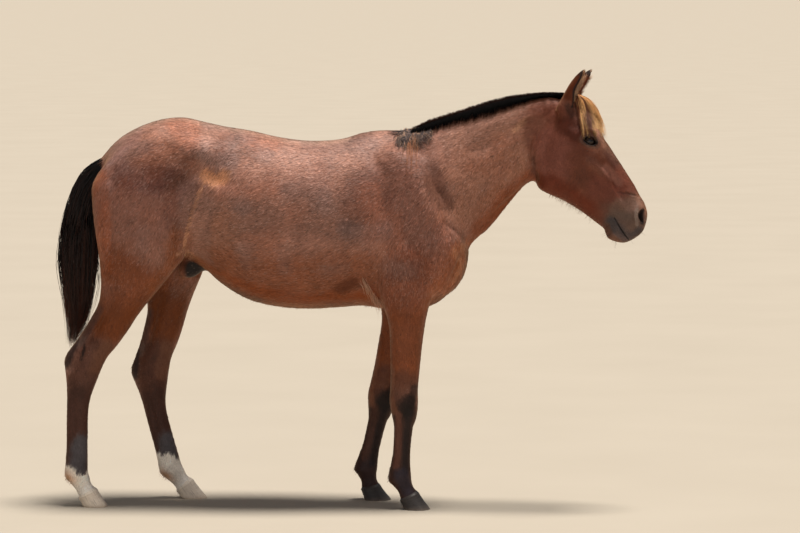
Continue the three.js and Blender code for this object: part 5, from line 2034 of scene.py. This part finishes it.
class Shader:
    """A material under construction."""

    def __init__(self, name, **constants):
        self.material = bpy.data.materials.new(name)
        self.material.use_nodes = True
        self.nodes = self.material.node_tree.nodes
        self.links = self.material.node_tree.links
        self.nodes.clear()
        self.surface = self.nodes.new("ShaderNodeBsdfPrincipled")
        out = self.nodes.new("ShaderNodeOutputMaterial")
        self.links.new(self.surface.outputs[0], out.inputs[0])
        for key, value in constants.items():
            self.surface.inputs[key.replace("_", " ")].default_value = value

    def node(self, kind, settings, inputs, output=0):
        """Adds a node: its settings first, then the values or links of its sockets, and wraps an output."""
        made = self.nodes.new(kind)
        for key, value in settings.items():
            setattr(made, key, value)
        for key, value in inputs.items():
            if isinstance(value, Value):
                self.links.new(value.socket, made.inputs[key])
            else:
                made.inputs[key].default_value = value
        return Value(self, made.outputs[output])

    def field(self, name, output="Color"):
        return self.node("ShaderNodeAttribute", {"attribute_name": name}, {}, output)

    def place(self):
        return self.node("ShaderNodeTexCoord", {}, {}, "Object")

    def scaled(self, vector, factors):
        return self.node("ShaderNodeVectorMath", {"operation": "MULTIPLY"}, {0: vector, 1: factors})

    def noise(self, vector, scale, detail=2.0, rough=0.5):
        inputs = {"Vector": vector, "Scale": scale, "Detail": detail, "Roughness": rough}
        return self.node("ShaderNodeTexNoise", {}, inputs)

    def part(self, vector, axis):
        return self.node("ShaderNodeSeparateXYZ", {}, {0: vector}, axis)

    def mix(self, share, a, b):
        """Colours a and b blended by a share."""
        return self.node("ShaderNodeMix", {"data_type": "RGBA"}, {0: share, 6: a, 7: b}, 2)

    def tinted(self, colour, value):
        """A colour made lighter or darker by a value."""
        return self.node("ShaderNodeVectorMath", {"operation": "SCALE"}, {0: colour, "Scale": value})

    def bump(self, height, distance, strength=1.0):
        return self.node("ShaderNodeBump", {}, {"Height": height, "Distance": distance, "Strength": strength})

    def feed(self, **sockets):
        for key, value in sockets.items():
            self.links.new(value.socket, self.surface.inputs[key.replace("_", " ")])
        return self.material


def rgba(colour):
    """A display colour as a linear colour with full alpha."""
    return (*(float(v) for v in linear(colour)), 1.0)


SHEEN_TINT = (1.0, 0.56, 0.30, 1.0)


def skin_material():
    """The coat's ground: the painted tint, mottled and flecked by fine noise, with the fine relief of
    hair lying along the body."""
    s = Shader("roan_hide", Roughness=0.55, Sheen_Weight=0.30, Sheen_Roughness=0.4,
               Sheen_Tint=SHEEN_TINT, Specular_IOR_Level=0.2)
    here = s.place()
    tint = s.field("tint")
    roan = s.field("roan", "Fac")
    long_way = s.scaled(here, (140.0, 330.0, 210.0))
    fine = s.noise(long_way, 1.0, 3.0, 0.6)
    fleck = s.noise(s.scaled(here, (95.0, 230.0, 150.0)), 1.0, 2.0, 0.55)
    mottle = s.noise(here, 42.0, 3.0, 0.6)
    pale = (fleck.step(0.60, 0.70)) * roan * 0.32
    dark = (1.0 - fleck.step(0.30, 0.40)) * (roan * 0.16 + 0.08)
    colour = s.tinted(tint, fine * 0.75 + mottle * 0.45 + 0.40)
    colour = s.mix(pale, colour, rgba(PALE_HAIR))
    colour = s.tinted(colour, 1.0 - dark)
    bump = s.bump(fine, 0.0012, 0.6)
    return s.feed(Base_Color=colour, Roughness=fine * 0.25 + 0.42, Normal=bump)


def coat_material():
    """The tufts of the short coat: each carries its own shade of the tint, with a soft sheen."""
    s = Shader("roan_coat", Roughness=0.5, Sheen_Weight=0.40, Sheen_Roughness=0.4,
               Sheen_Tint=SHEEN_TINT, Specular_IOR_Level=0.2)
    here = s.place()
    fine = s.noise(s.scaled(here, (220.0, 500.0, 320.0)), 1.0, 2.0, 0.5)
    colour = s.tinted(s.field("tint"), fine * 0.70 + 0.65)
    return s.feed(Base_Color=colour, Roughness=fine * 0.2 + 0.42)


def hair_material(name, rough, gloss, sheen=0.10):
    """Long hair: its own tint, streaked finely along its length."""
    s = Shader(name, Roughness=rough, Specular_IOR_Level=gloss, Sheen_Weight=sheen, Sheen_Roughness=0.4)
    here = s.place()
    streak = s.noise(s.scaled(here, (900.0, 900.0, 60.0)), 1.0, 1.0, 0.5)
    colour = s.tinted(s.field("tint"), streak * 0.7 + 0.65)
    return s.feed(Base_Color=colour, Roughness=streak * 0.25 + rough - 0.12)


def eye_material():
    """A wet brown eye with a level oval pupil, a darker rim and a brown-grey white."""
    s = Shader("wet_eye", Roughness=0.12, Coat_Weight=0.12, Coat_Roughness=0.02, Specular_IOR_Level=0.28)
    spot = s.field("eye", "Vector")
    x, y = s.part(spot, 0), s.part(spot, 1)
    round_iris = (x * x + y * y * 1.18) ** 0.5
    oval = ((x / 0.36) ** 2.0 + (y / 0.17) ** 2.0) ** 0.5
    fibre = s.noise(s.scaled(spot, (14.0, 14.0, 4.0)), 2.0, 4.0, 0.6)
    iris = s.mix(fibre.step(0.35, 0.70), rgba((24, 15, 12)), rgba((48, 30, 21)))
    iris = s.tinted(iris, 1.15 - round_iris * 0.55)
    colour = s.mix(1.0 - oval.step(0.88, 1.04), iris, rgba((10, 10, 14)))
    # Painted reflection: the upper half of the eye is tinted grey-blue, as a reflection of the sky.
    colour = s.mix(y.step(0.05, 0.60) * 0.10, colour, rgba((66, 78, 98)))
    colour = s.mix(round_iris.step(0.70, 0.80), colour, rgba((16, 12, 11)))
    colour = s.mix(round_iris.step(0.84, 0.97), colour, rgba((40, 30, 26)))
    return s.feed(Base_Color=colour)


def lid_material():
    """Moist dark skin of the lid edges."""
    s = Shader("lid_edge", Roughness=0.3, Coat_Weight=0.4, Coat_Roughness=0.15)
    pore = s.noise(s.place(), 900.0, 2.0)
    colour = s.mix(pore, rgba((26, 20, 19)), rgba((58, 46, 44)))
    return s.feed(Base_Color=colour, Roughness=pore * 0.2 + 0.22, Normal=s.bump(pore, 0.0002))


def horn_material(name, dark, light, stripe, dust):
    """Hoof horn: growth rings across, faint streaks down, dust at the ground."""
    s = Shader(name, Roughness=0.5, Specular_IOR_Level=0.4)
    spot = s.field("horn", "Vector")
    level = s.part(spot, 2)
    rings = s.noise(s.scaled(spot, (0.35, 0.35, 34.0)), 1.0, 2.0, 0.6)
    streaks = s.noise(s.scaled(spot, (26.0, 26.0, 1.2)), 1.0, 2.0, 0.6)
    grain = s.noise(s.place(), 420.0, 3.0, 0.6)
    colour = s.mix(rings.step(0.3, 0.7), rgba(dark), rgba(light))
    colour = s.mix(streaks.step(0.52, 0.70) * 0.6, colour, rgba(stripe))
    dusty = level.step(0.55, 1.0) * grain.step(0.35, 0.65) * 0.7 + level.step(0.80, 1.0) * 0.25
    colour = s.mix(dusty, colour, rgba(dust))
    height = rings * 0.6 + grain * 0.2 + streaks * 0.2
    return s.feed(Base_Color=colour, Roughness=grain * 0.25 + 0.38, Normal=s.bump(height, 0.0010, 0.7))


def floor_material():
    """A plain pale floor with the faintest mottle."""
    s = Shader("pale_floor", Roughness=0.85, Specular_IOR_Level=0.2)
    cloud = s.noise(s.place(), 1.3, 3.0, 0.5)
    return s.feed(Base_Color=s.mix(cloud, rgba((176, 165, 149)), rgba((184, 173, 157))))


# ---------------------------------------------------------------- sizes and colours a user may change
def number(name, description, default, least):
    """A property that counts hairs or triangles."""
    return bpy.props.IntProperty(name=name, description=description, default=default, min=least)


def amount(name, description, default, unit="NONE", least=0.0):
    """A property that measures a width or a strength."""
    return bpy.props.FloatProperty(name=name, description=description, default=default, unit=unit, min=least)


class HorseSizes(bpy.types.PropertyGroup):
    """Sizes and counts of the horse's pieces."""

    skin_triangles: number("Skin Triangles", "Triangles of the finished skin", SKIN_TRIANGLES, 20000)
    coat_tufts: number("Coat Tufts", "Tufts of the short coat, over the whole skin", 190000, 1000)
    tail_hairs: number("Tail Hairs", "Hairs of the tail", 2300, 100)
    mane_hairs: number("Mane Hairs", "Hairs of the short mane", 8400, 100)
    mane_thickness: amount("Mane Hair Thickness", "Width of one hair of the mane", 0.0019, "LENGTH", 0.0005)
    forelock_hairs: number("Forelock Hairs", "Hairs of the forelock", 1500, 50)
    withers_hairs: number("Withers Hairs", "Hairs of the curled lock at the withers", 900, 10)


class HorseLight(bpy.types.PropertyGroup):
    """The studio round the horse."""

    top_strength: amount("Top Light", "Strength of the wide soft light overhead", 5.0)
    fill_power: amount("Fill Light", "Power of the soft light beside the camera", 40.0, "POWER")
    low_power: amount("Low Light", "Power of the soft light that reaches the legs", 22.0, "POWER")
    air: amount("Surroundings", "Brightness of the pale surroundings", 0.25)


SEEDS = {"coat": 11, "tail": 23, "mane": 31, "forelock": 43, "withers": 59, "guard": 61, "ears": 73,
         "lashes": 83, "whiskers": 97}
SKIN_NODES = ["trunk", "neck", "head", "ear_left", "ear_right"] + [
    f"{leg}_{name}_{part}" for name in SIDES for leg, parts in (
        ("foreleg", ("forearm", "cannon", "pastern")), ("hindleg", ("thigh", "gaskin", "cannon", "pastern")))
    for part in parts]
made = {}


def seeded(name):
    return np.random.default_rng(SEEDS[name])


def skin_arrays():
    """The finished skin's points, normals and triangles, which the coat grows from."""
    if "skin" not in made:
        raise RuntimeError("the skin has to be built before the coat and the hair")
    return made["skin"]


class HORSE_OT_skin(bpy.types.Operator):
    """Builds the one skin that stands for all the flesh"""

    bl_idname = "horse.skin"
    bl_label = "Skin"

    def execute(self, context):
        points, quads = skin_points()
        piece = mesh_piece("skin", points + np.array([SHIFT_X, 0.0, 0.0]), quads)
        thin = piece.modifiers.new("thin", "DECIMATE")
        thin.ratio = context.scene.horse_sizes.skin_triangles / (2 * len(quads))
        context.view_layer.objects.active = piece
        bpy.ops.object.modifier_apply(modifier=thin.name)
        piece.data.shade_smooth()
        arrays = mesh_arrays(piece.data)
        colour, roan = coat_colour(arrays[0])
        set_fields(piece.data, colour, [("roan", roan)])
        made["skin"] = arrays
        made["skin_mesh"] = piece.data
        finish_piece(piece, "coat", skin_material(), *SKIN_NODES)
        return {"FINISHED"}


class HORSE_OT_coat(bpy.types.Operator):
    """Lays the short coat over the skin, in one piece for each region"""

    bl_idname = "horse.coat"
    bl_label = "Short Coat"

    def execute(self, context):
        skin_arrays()
        rng = seeded("coat")
        count = context.scene.horse_sizes.coat_tufts
        root, normal = roots_on(made["skin_mesh"], rng, count)
        keep = ~bare(root)
        root, normal = root[keep], normal[keep]
        length, width, stand = coat_sizes(root)
        length = length * np.exp(rng.normal(0, 0.16, len(root)))
        way = hair_lay(root, normal)
        colour = tuft_colours(root, rng)
        region = region_of(root)
        material = coat_material()
        for name in ("quarters", "barrel", "forehand", "neck", "head", "forelegs", "hindlegs"):
            here = region == name
            points, faces, shading = tufts(root[here], normal[here], way[here], length[here],
                                           width[here], stand[here], rng)
            uv = unwrapped(name, root[here])[:, None] + TUFT_PATCH[None] * PATCH
            assert here.sum() < TUFT_LIMIT, (name, here.sum())
            piece = mesh_piece(f"coat_{name}", points, faces, np.repeat(colour[here], 4, axis=0),
                               uv=np.clip(uv, 0.001, 0.999).reshape(-1, 2), normals=shading)
            finish_piece(piece, "coat", material)
        return {"FINISHED"}


def varied(colour, count, rng, spread=0.22):
    """One colour for each hair, some lighter and some darker."""
    return np.clip(linear(colour) * np.exp(rng.normal(0, spread, (count, 1))), 0, 1)


class HORSE_OT_tail(bpy.types.Operator):
    """Hangs the tail's hair from the dock"""

    bl_idname = "horse.tail"
    bl_label = "Tail"

    def execute(self, context):
        rng = seeded("tail")
        count = context.scene.horse_sizes.tail_hairs
        paths, lock, turn, start = tail_paths(count, rng)
        red = np.clip(rng.normal(0.45, 0.35, TAIL_LOCKS), 0, 1)[lock][:, None]
        dark = varied(TAIL_BLACK, count, rng, 0.3)
        brown = (rng.random((count, 1)) < 0.10) * 0.8
        root = dark * (1 - brown) + linear(TAIL_BROWN) * brown
        tip = dark * (1 - red) + varied(TAIL_RED, count, rng) * red
        places = np.stack([0.02 + 0.95 * start / 5.3, turn / (2 * np.pi) * 0.95 + 0.5], 1)
        hair_piece("tail_hair", placed(paths), hair_width(count, rng, 0.0017, 0.0012, TAIL_RINGS, 0.8, 0.2),
                   root, tip, places, "hair",
                   hair_material("tail_hair", 0.45, 0.35, 0.0), "tail", late=2.2)
        return {"FINISHED"}


class HORSE_OT_mane(bpy.types.Operator):
    """Lays the short mane over the crest, and the curled lock at the withers"""

    bl_idname = "horse.mane"
    bl_label = "Mane"

    def execute(self, context):
        sizes = context.scene.horse_sizes
        rng = seeded("mane")
        count = sizes.mane_hairs
        paths, fall, x = mane_paths(skin_arrays(), count, rng)
        width = sizes.mane_thickness * (0.7 + 0.6 * rng.random((count, 1))) * taper(MANE_RINGS, 0.9, 0.4)
        rear = smooth_step(-x[:, None], -0.50, -0.30)
        upper = smooth_step(-fall[:, None], -0.55, -0.05) * (0.55 + 0.45 * rear)
        root = varied((7, 5, 5), count, rng, 0.3)
        tip = root * (1 - upper) + varied((70, 44, 36), count, rng, 0.45) * upper
        places = np.stack([0.02 + 0.95 * (x - 0.2) / 0.54, 0.2 + 0.6 * fall], 1)
        hair_piece("mane_hair", placed(paths), width, root, tip, places, "hair",
                   hair_material("mane_hair", 0.85, 0.04, 0.0), "mane")
        rng = seeded("withers")
        count = sizes.withers_hairs
        paths, long_one, flat_one = withers_paths(skin_arrays(), count, rng)
        grey = rng.random((count, 1)) < 0.52
        root = np.where(grey, varied((96, 80, 78), count, rng), varied((58, 38, 32), count, rng))
        pale = rng.random((count, 1)) < 0.18
        root = np.where(pale, varied((190, 150, 122), count, rng), root)
        root = np.where(flat_one[:, None], varied((62, 52, 54), count, rng, 0.3), root)
        root = np.where(long_one[:, None], varied((168, 108, 70), count, rng, 0.30), root)
        width = hair_width(count, rng, 0.0010, 0.0008, WITHERS_RINGS)
        places = np.stack([0.02 + 0.95 * rng.random(count), 0.3 + 0.4 * rng.random(count)], 1)
        hair_piece("withers_curls", placed(paths), width, root, root, places, "hair",
                   hair_material("withers_hair", 0.6, 0.3, 0.04))
        return {"FINISHED"}


class HORSE_OT_forelock(bpy.types.Operator):
    """Hangs the sun-bleached forelock over the forehead"""

    bl_idname = "horse.forelock"
    bl_label = "Forelock"

    def execute(self, context):
        rng = seeded("forelock")
        count = context.scene.horse_sizes.forelock_hairs
        paths, fan, layer, lock = forelock_paths(skin_arrays(), count, rng)
        front = smooth_step(-np.abs(fan), -0.52, -0.16)
        gold = np.clip(front + (rng.random(FORELOCK_LOCKS) < 0.50)[lock] * 0.85, 0, 1)[:, None]
        gold = gold * (0.35 + 0.65 * (layer > 0.30))[:, None]
        dark = varied((104, 58, 34), count, rng, 0.3)
        root = dark * (1 - gold) + varied((206, 138, 78), count, rng, 0.22) * gold
        tip = dark * (1 - gold) + varied((250, 200, 138), count, rng, 0.14) * gold
        width = hair_width(count, rng, 0.0011, 0.0008, FORELOCK_RINGS)
        places = np.stack([0.1 + 0.8 * np.clip(layer, 0, 1), 0.5 + 0.4 * fan], 1)
        hair_piece("forelock_hair", placed(paths), width, root, tip, places, "forelock_hair",
                   hair_material("forelock_hair", 0.55, 0.3, 0.02), "forelock")
        return {"FINISHED"}


# Fine hairs: the piece, its seed, their width, their colour and their slot.
FINE_HAIRS = (("ear_hair", "ears", 0.0008, (196, 156, 124), "coat"),
              ("lashes", "lashes", 0.00045, (30, 22, 20), "hair"),
              ("whiskers", "whiskers", 0.0005, (60, 48, 44), "hair"))


class HORSE_OT_guard_hair(bpy.types.Operator):
    """Adds the longer hairs of the belly, jaw and fetlocks, inside the ears, the lashes and the whiskers"""

    bl_idname = "horse.guard_hair"
    bl_label = "Longer Hairs"

    def execute(self, context):
        skin = skin_arrays()
        rng = seeded("guard")
        root, paths, colour = guard_hairs(skin, rng)
        width = hair_width(len(paths), rng, 0.0006, 0.0005, GUARD_RINGS, full=0.2)
        spot = straight(root)
        turn = np.arctan2(spot[:, 1], spot[:, 2] - BODY_AXIS_Z) / (2 * np.pi) * 0.95 + 0.5
        places = np.stack([0.02 + 0.95 * (spot[:, 0] + 1) / 2.1, turn], 1)
        material = hair_material("guard_hair", 0.5, 0.4)
        hair_piece("longer_hairs", paths, width, colour, colour * 1.1, places, "coat", material)
        grow = {"ear_hair": ear_hairs, "lashes": lashes, "whiskers": lambda rng: whiskers(skin, rng)}
        for piece, seed, thick, shade, slot in FINE_HAIRS:
            rng = seeded(seed)
            paths = grow[piece](rng)
            count = len(paths)
            colour = varied(shade, count, rng)
            width = np.full((count, 1), thick) * taper(GUARD_RINGS, 0.9, 0.2)[None, :]
            places = 0.05 + 0.9 * rng.random((count, 2))
            hair_piece(piece, paths, width, colour, colour, places, slot, material)
        return {"FINISHED"}


class HORSE_OT_eyes(bpy.types.Operator):
    """Sets the eyes in their sockets, with the moist edges of the lids"""

    bl_idname = "horse.eyes"
    bl_label = "Eyes"

    def execute(self, context):
        material, moist = eye_material(), lid_material()
        for name, side in SIDES.items():
            grid, spot = eyeball(side)
            points, faces = closed(placed(grid))
            piece = mesh_piece(f"eyeball_{name}", points, faces, fields=[("eye", spot)])
            finish_piece(piece, "eye", material, f"eye_{name}")
            rim = placed(lid_rim(side))
            faces = outward(torus_faces(*rim.shape[:2]), rim.reshape(-1, 3))
            piece = mesh_piece(f"lid_rim_{name}", rim.reshape(-1, 3), faces)
            finish_piece(piece, "coat", moist)
        return {"FINISHED"}


class HORSE_OT_hooves(bpy.types.Operator):
    """Builds the four hooves, dark in front and pale behind"""

    bl_idname = "horse.hooves"
    bl_label = "Hooves"

    def execute(self, context):
        looks = {
            "fore": ("dark_horn", horn_material("dark_horn", (44, 39, 38), (64, 57, 54), (32, 28, 28),
                                                (112, 98, 86))),
            "hind": ("pale_horn", horn_material("pale_horn", (224, 206, 186), (240, 226, 208),
                                                (112, 92, 78), (176, 152, 126))),
        }
        for kind, (slot, material) in looks.items():
            for name in SIDES:
                grid, spot = hoof(kind, name)
                points, faces = closed(placed(grid))
                piece = mesh_piece(f"horn_{kind}_{name}", points, faces, fields=[("horn", spot)])
                finish_piece(piece, slot, material, f"hoof_{kind}_{name}")
        return {"FINISHED"}


# ---------------------------------------------------------------- the studio
CAMERA_DISTANCE = 13.0
CAMERA_HEIGHT = 1.80
CAMERA_AZIMUTH = 4.0
CAMERA_PITCH = 4.2495
CAMERA_TARGET_X = 0.1725
CAMERA_LENS = 168.3
CAMERA_SENSOR = 36.0
FLOOR_LINES = np.array([-900.0, -200.0, -40.0, -10.0, -3.0, 3.0, 10.0, 40.0, 200.0, 900.0])
TOP_LIGHT_SPREAD = 18.0
TOP_LIGHT_WAY = (-0.16, -0.03, -1.0)
TOP_LIGHT_COLOUR = (1.0, 0.965, 0.91)
# Soft lights: where each stands, what it faces, its two sides and its colour.
SOFT_LIGHTS = {
    "fill_light": ((1.6, -7.5, 3.2), (0.1, 0.0, 0.8), (6.0, 4.0), (1.0, 0.98, 0.96)),
    "low_light": ((-1.2, -6.0, 0.9), (-0.3, 0.0, 0.25), (5.0, 1.5), (1.0, 0.95, 0.88)),
}
AIR_COLOUR = (218, 220, 224)


def soft_light(name, power, place, aim, size, colour):
    """A square soft light at a place, turned to face another."""
    data = bpy.data.lights.new(name, "AREA")
    data.shape = "RECTANGLE"
    data.size, data.size_y = size
    data.energy = power
    data.color = colour
    light = bpy.data.objects.new(name, data)
    bpy.context.scene.collection.objects.link(light)
    way = Vector(aim) - Vector(place)
    light.location = place
    light.rotation_euler = way.to_track_quat("-Z", "Y").to_euler()


class HORSE_OT_stage(bpy.types.Operator):
    """Sets the pale floor, the soft lights, the surroundings and the camera"""

    bl_idname = "horse.stage"
    bl_label = "Stage"

    def execute(self, context):
        scene = context.scene
        look = scene.horse_light
        x, y = np.meshgrid(FLOOR_LINES, FLOOR_LINES, indexing="ij")
        lines = len(FLOOR_LINES)
        a = (np.arange(lines - 1)[:, None] * lines + np.arange(lines - 1)).ravel()
        faces = np.stack([a, a + lines, a + lines + 1, a + 1], 1)
        floor = mesh_piece("floor", np.stack([x, y, 0 * x], -1).reshape(-1, 3), faces)
        floor.data.materials.append(floor_material())
        data = bpy.data.lights.new("top_light", "SUN")
        data.energy = look.top_strength
        data.color = TOP_LIGHT_COLOUR
        data.angle = math.radians(TOP_LIGHT_SPREAD)
        top = bpy.data.objects.new("top_light", data)
        scene.collection.objects.link(top)
        top.rotation_euler = Vector(TOP_LIGHT_WAY).to_track_quat("-Z", "Y").to_euler()
        for name, power in (("fill_light", look.fill_power), ("low_light", look.low_power)):
            soft_light(name, power, *SOFT_LIGHTS[name])
        world = bpy.data.worlds.new("surroundings")
        world.use_nodes = True
        background = world.node_tree.nodes["Background"]
        background.inputs["Color"].default_value = rgba(AIR_COLOUR)
        background.inputs["Strength"].default_value = look.air
        scene.world = world
        scene.view_settings.view_transform = "Standard"
        data = bpy.data.cameras.new("camera")
        data.lens = CAMERA_LENS
        data.sensor_width = CAMERA_SENSOR
        data.clip_end = 2000.0
        camera = bpy.data.objects.new("camera", data)
        scene.collection.objects.link(camera)
        turn = math.radians(CAMERA_AZIMUTH)
        camera.location = (CAMERA_TARGET_X + CAMERA_DISTANCE * math.sin(turn),
                           -CAMERA_DISTANCE * math.cos(turn), CAMERA_HEIGHT)
        camera.rotation_euler = (math.pi / 2 - math.radians(CAMERA_PITCH), 0.0, turn)
        scene.camera = camera
        return {"FINISHED"}


PIECES = (HORSE_OT_skin, HORSE_OT_coat, HORSE_OT_tail, HORSE_OT_mane, HORSE_OT_forelock,
          HORSE_OT_guard_hair, HORSE_OT_eyes, HORSE_OT_hooves, HORSE_OT_stage)


class HORSE_PT_panel(bpy.types.Panel):
    """Lists the pieces, sizes and lights of the horse"""

    bl_idname = "HORSE_PT_panel"
    bl_label = "Standing Horse"
    bl_space_type = "VIEW_3D"
    bl_region_type = "UI"
    bl_category = "Horse"

    def draw(self, context):
        column = self.layout.column()
        for group in (context.scene.horse_sizes, context.scene.horse_light):
            for key in group.__annotations__:
                column.prop(group, key)
        for piece in PIECES:
            column.operator(piece.bl_idname)


CLASSES = (HorseSizes, HorseLight, *PIECES, HORSE_PT_panel)


def register():
    for cls in CLASSES:
        bpy.utils.register_class(cls)
    bpy.types.Scene.horse_sizes = bpy.props.PointerProperty(type=HorseSizes)
    bpy.types.Scene.horse_light = bpy.props.PointerProperty(type=HorseLight)


def unregister():
    del bpy.types.Scene.horse_light
    del bpy.types.Scene.horse_sizes
    for cls in reversed(CLASSES):
        bpy.utils.unregister_class(cls)


def main():
    """Registers the add-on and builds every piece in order."""
    register()
    for piece in PIECES:
        group, name = piece.bl_idname.split(".")
        getattr(getattr(bpy.ops, group), name)()


if __name__ == "__main__":
    main()
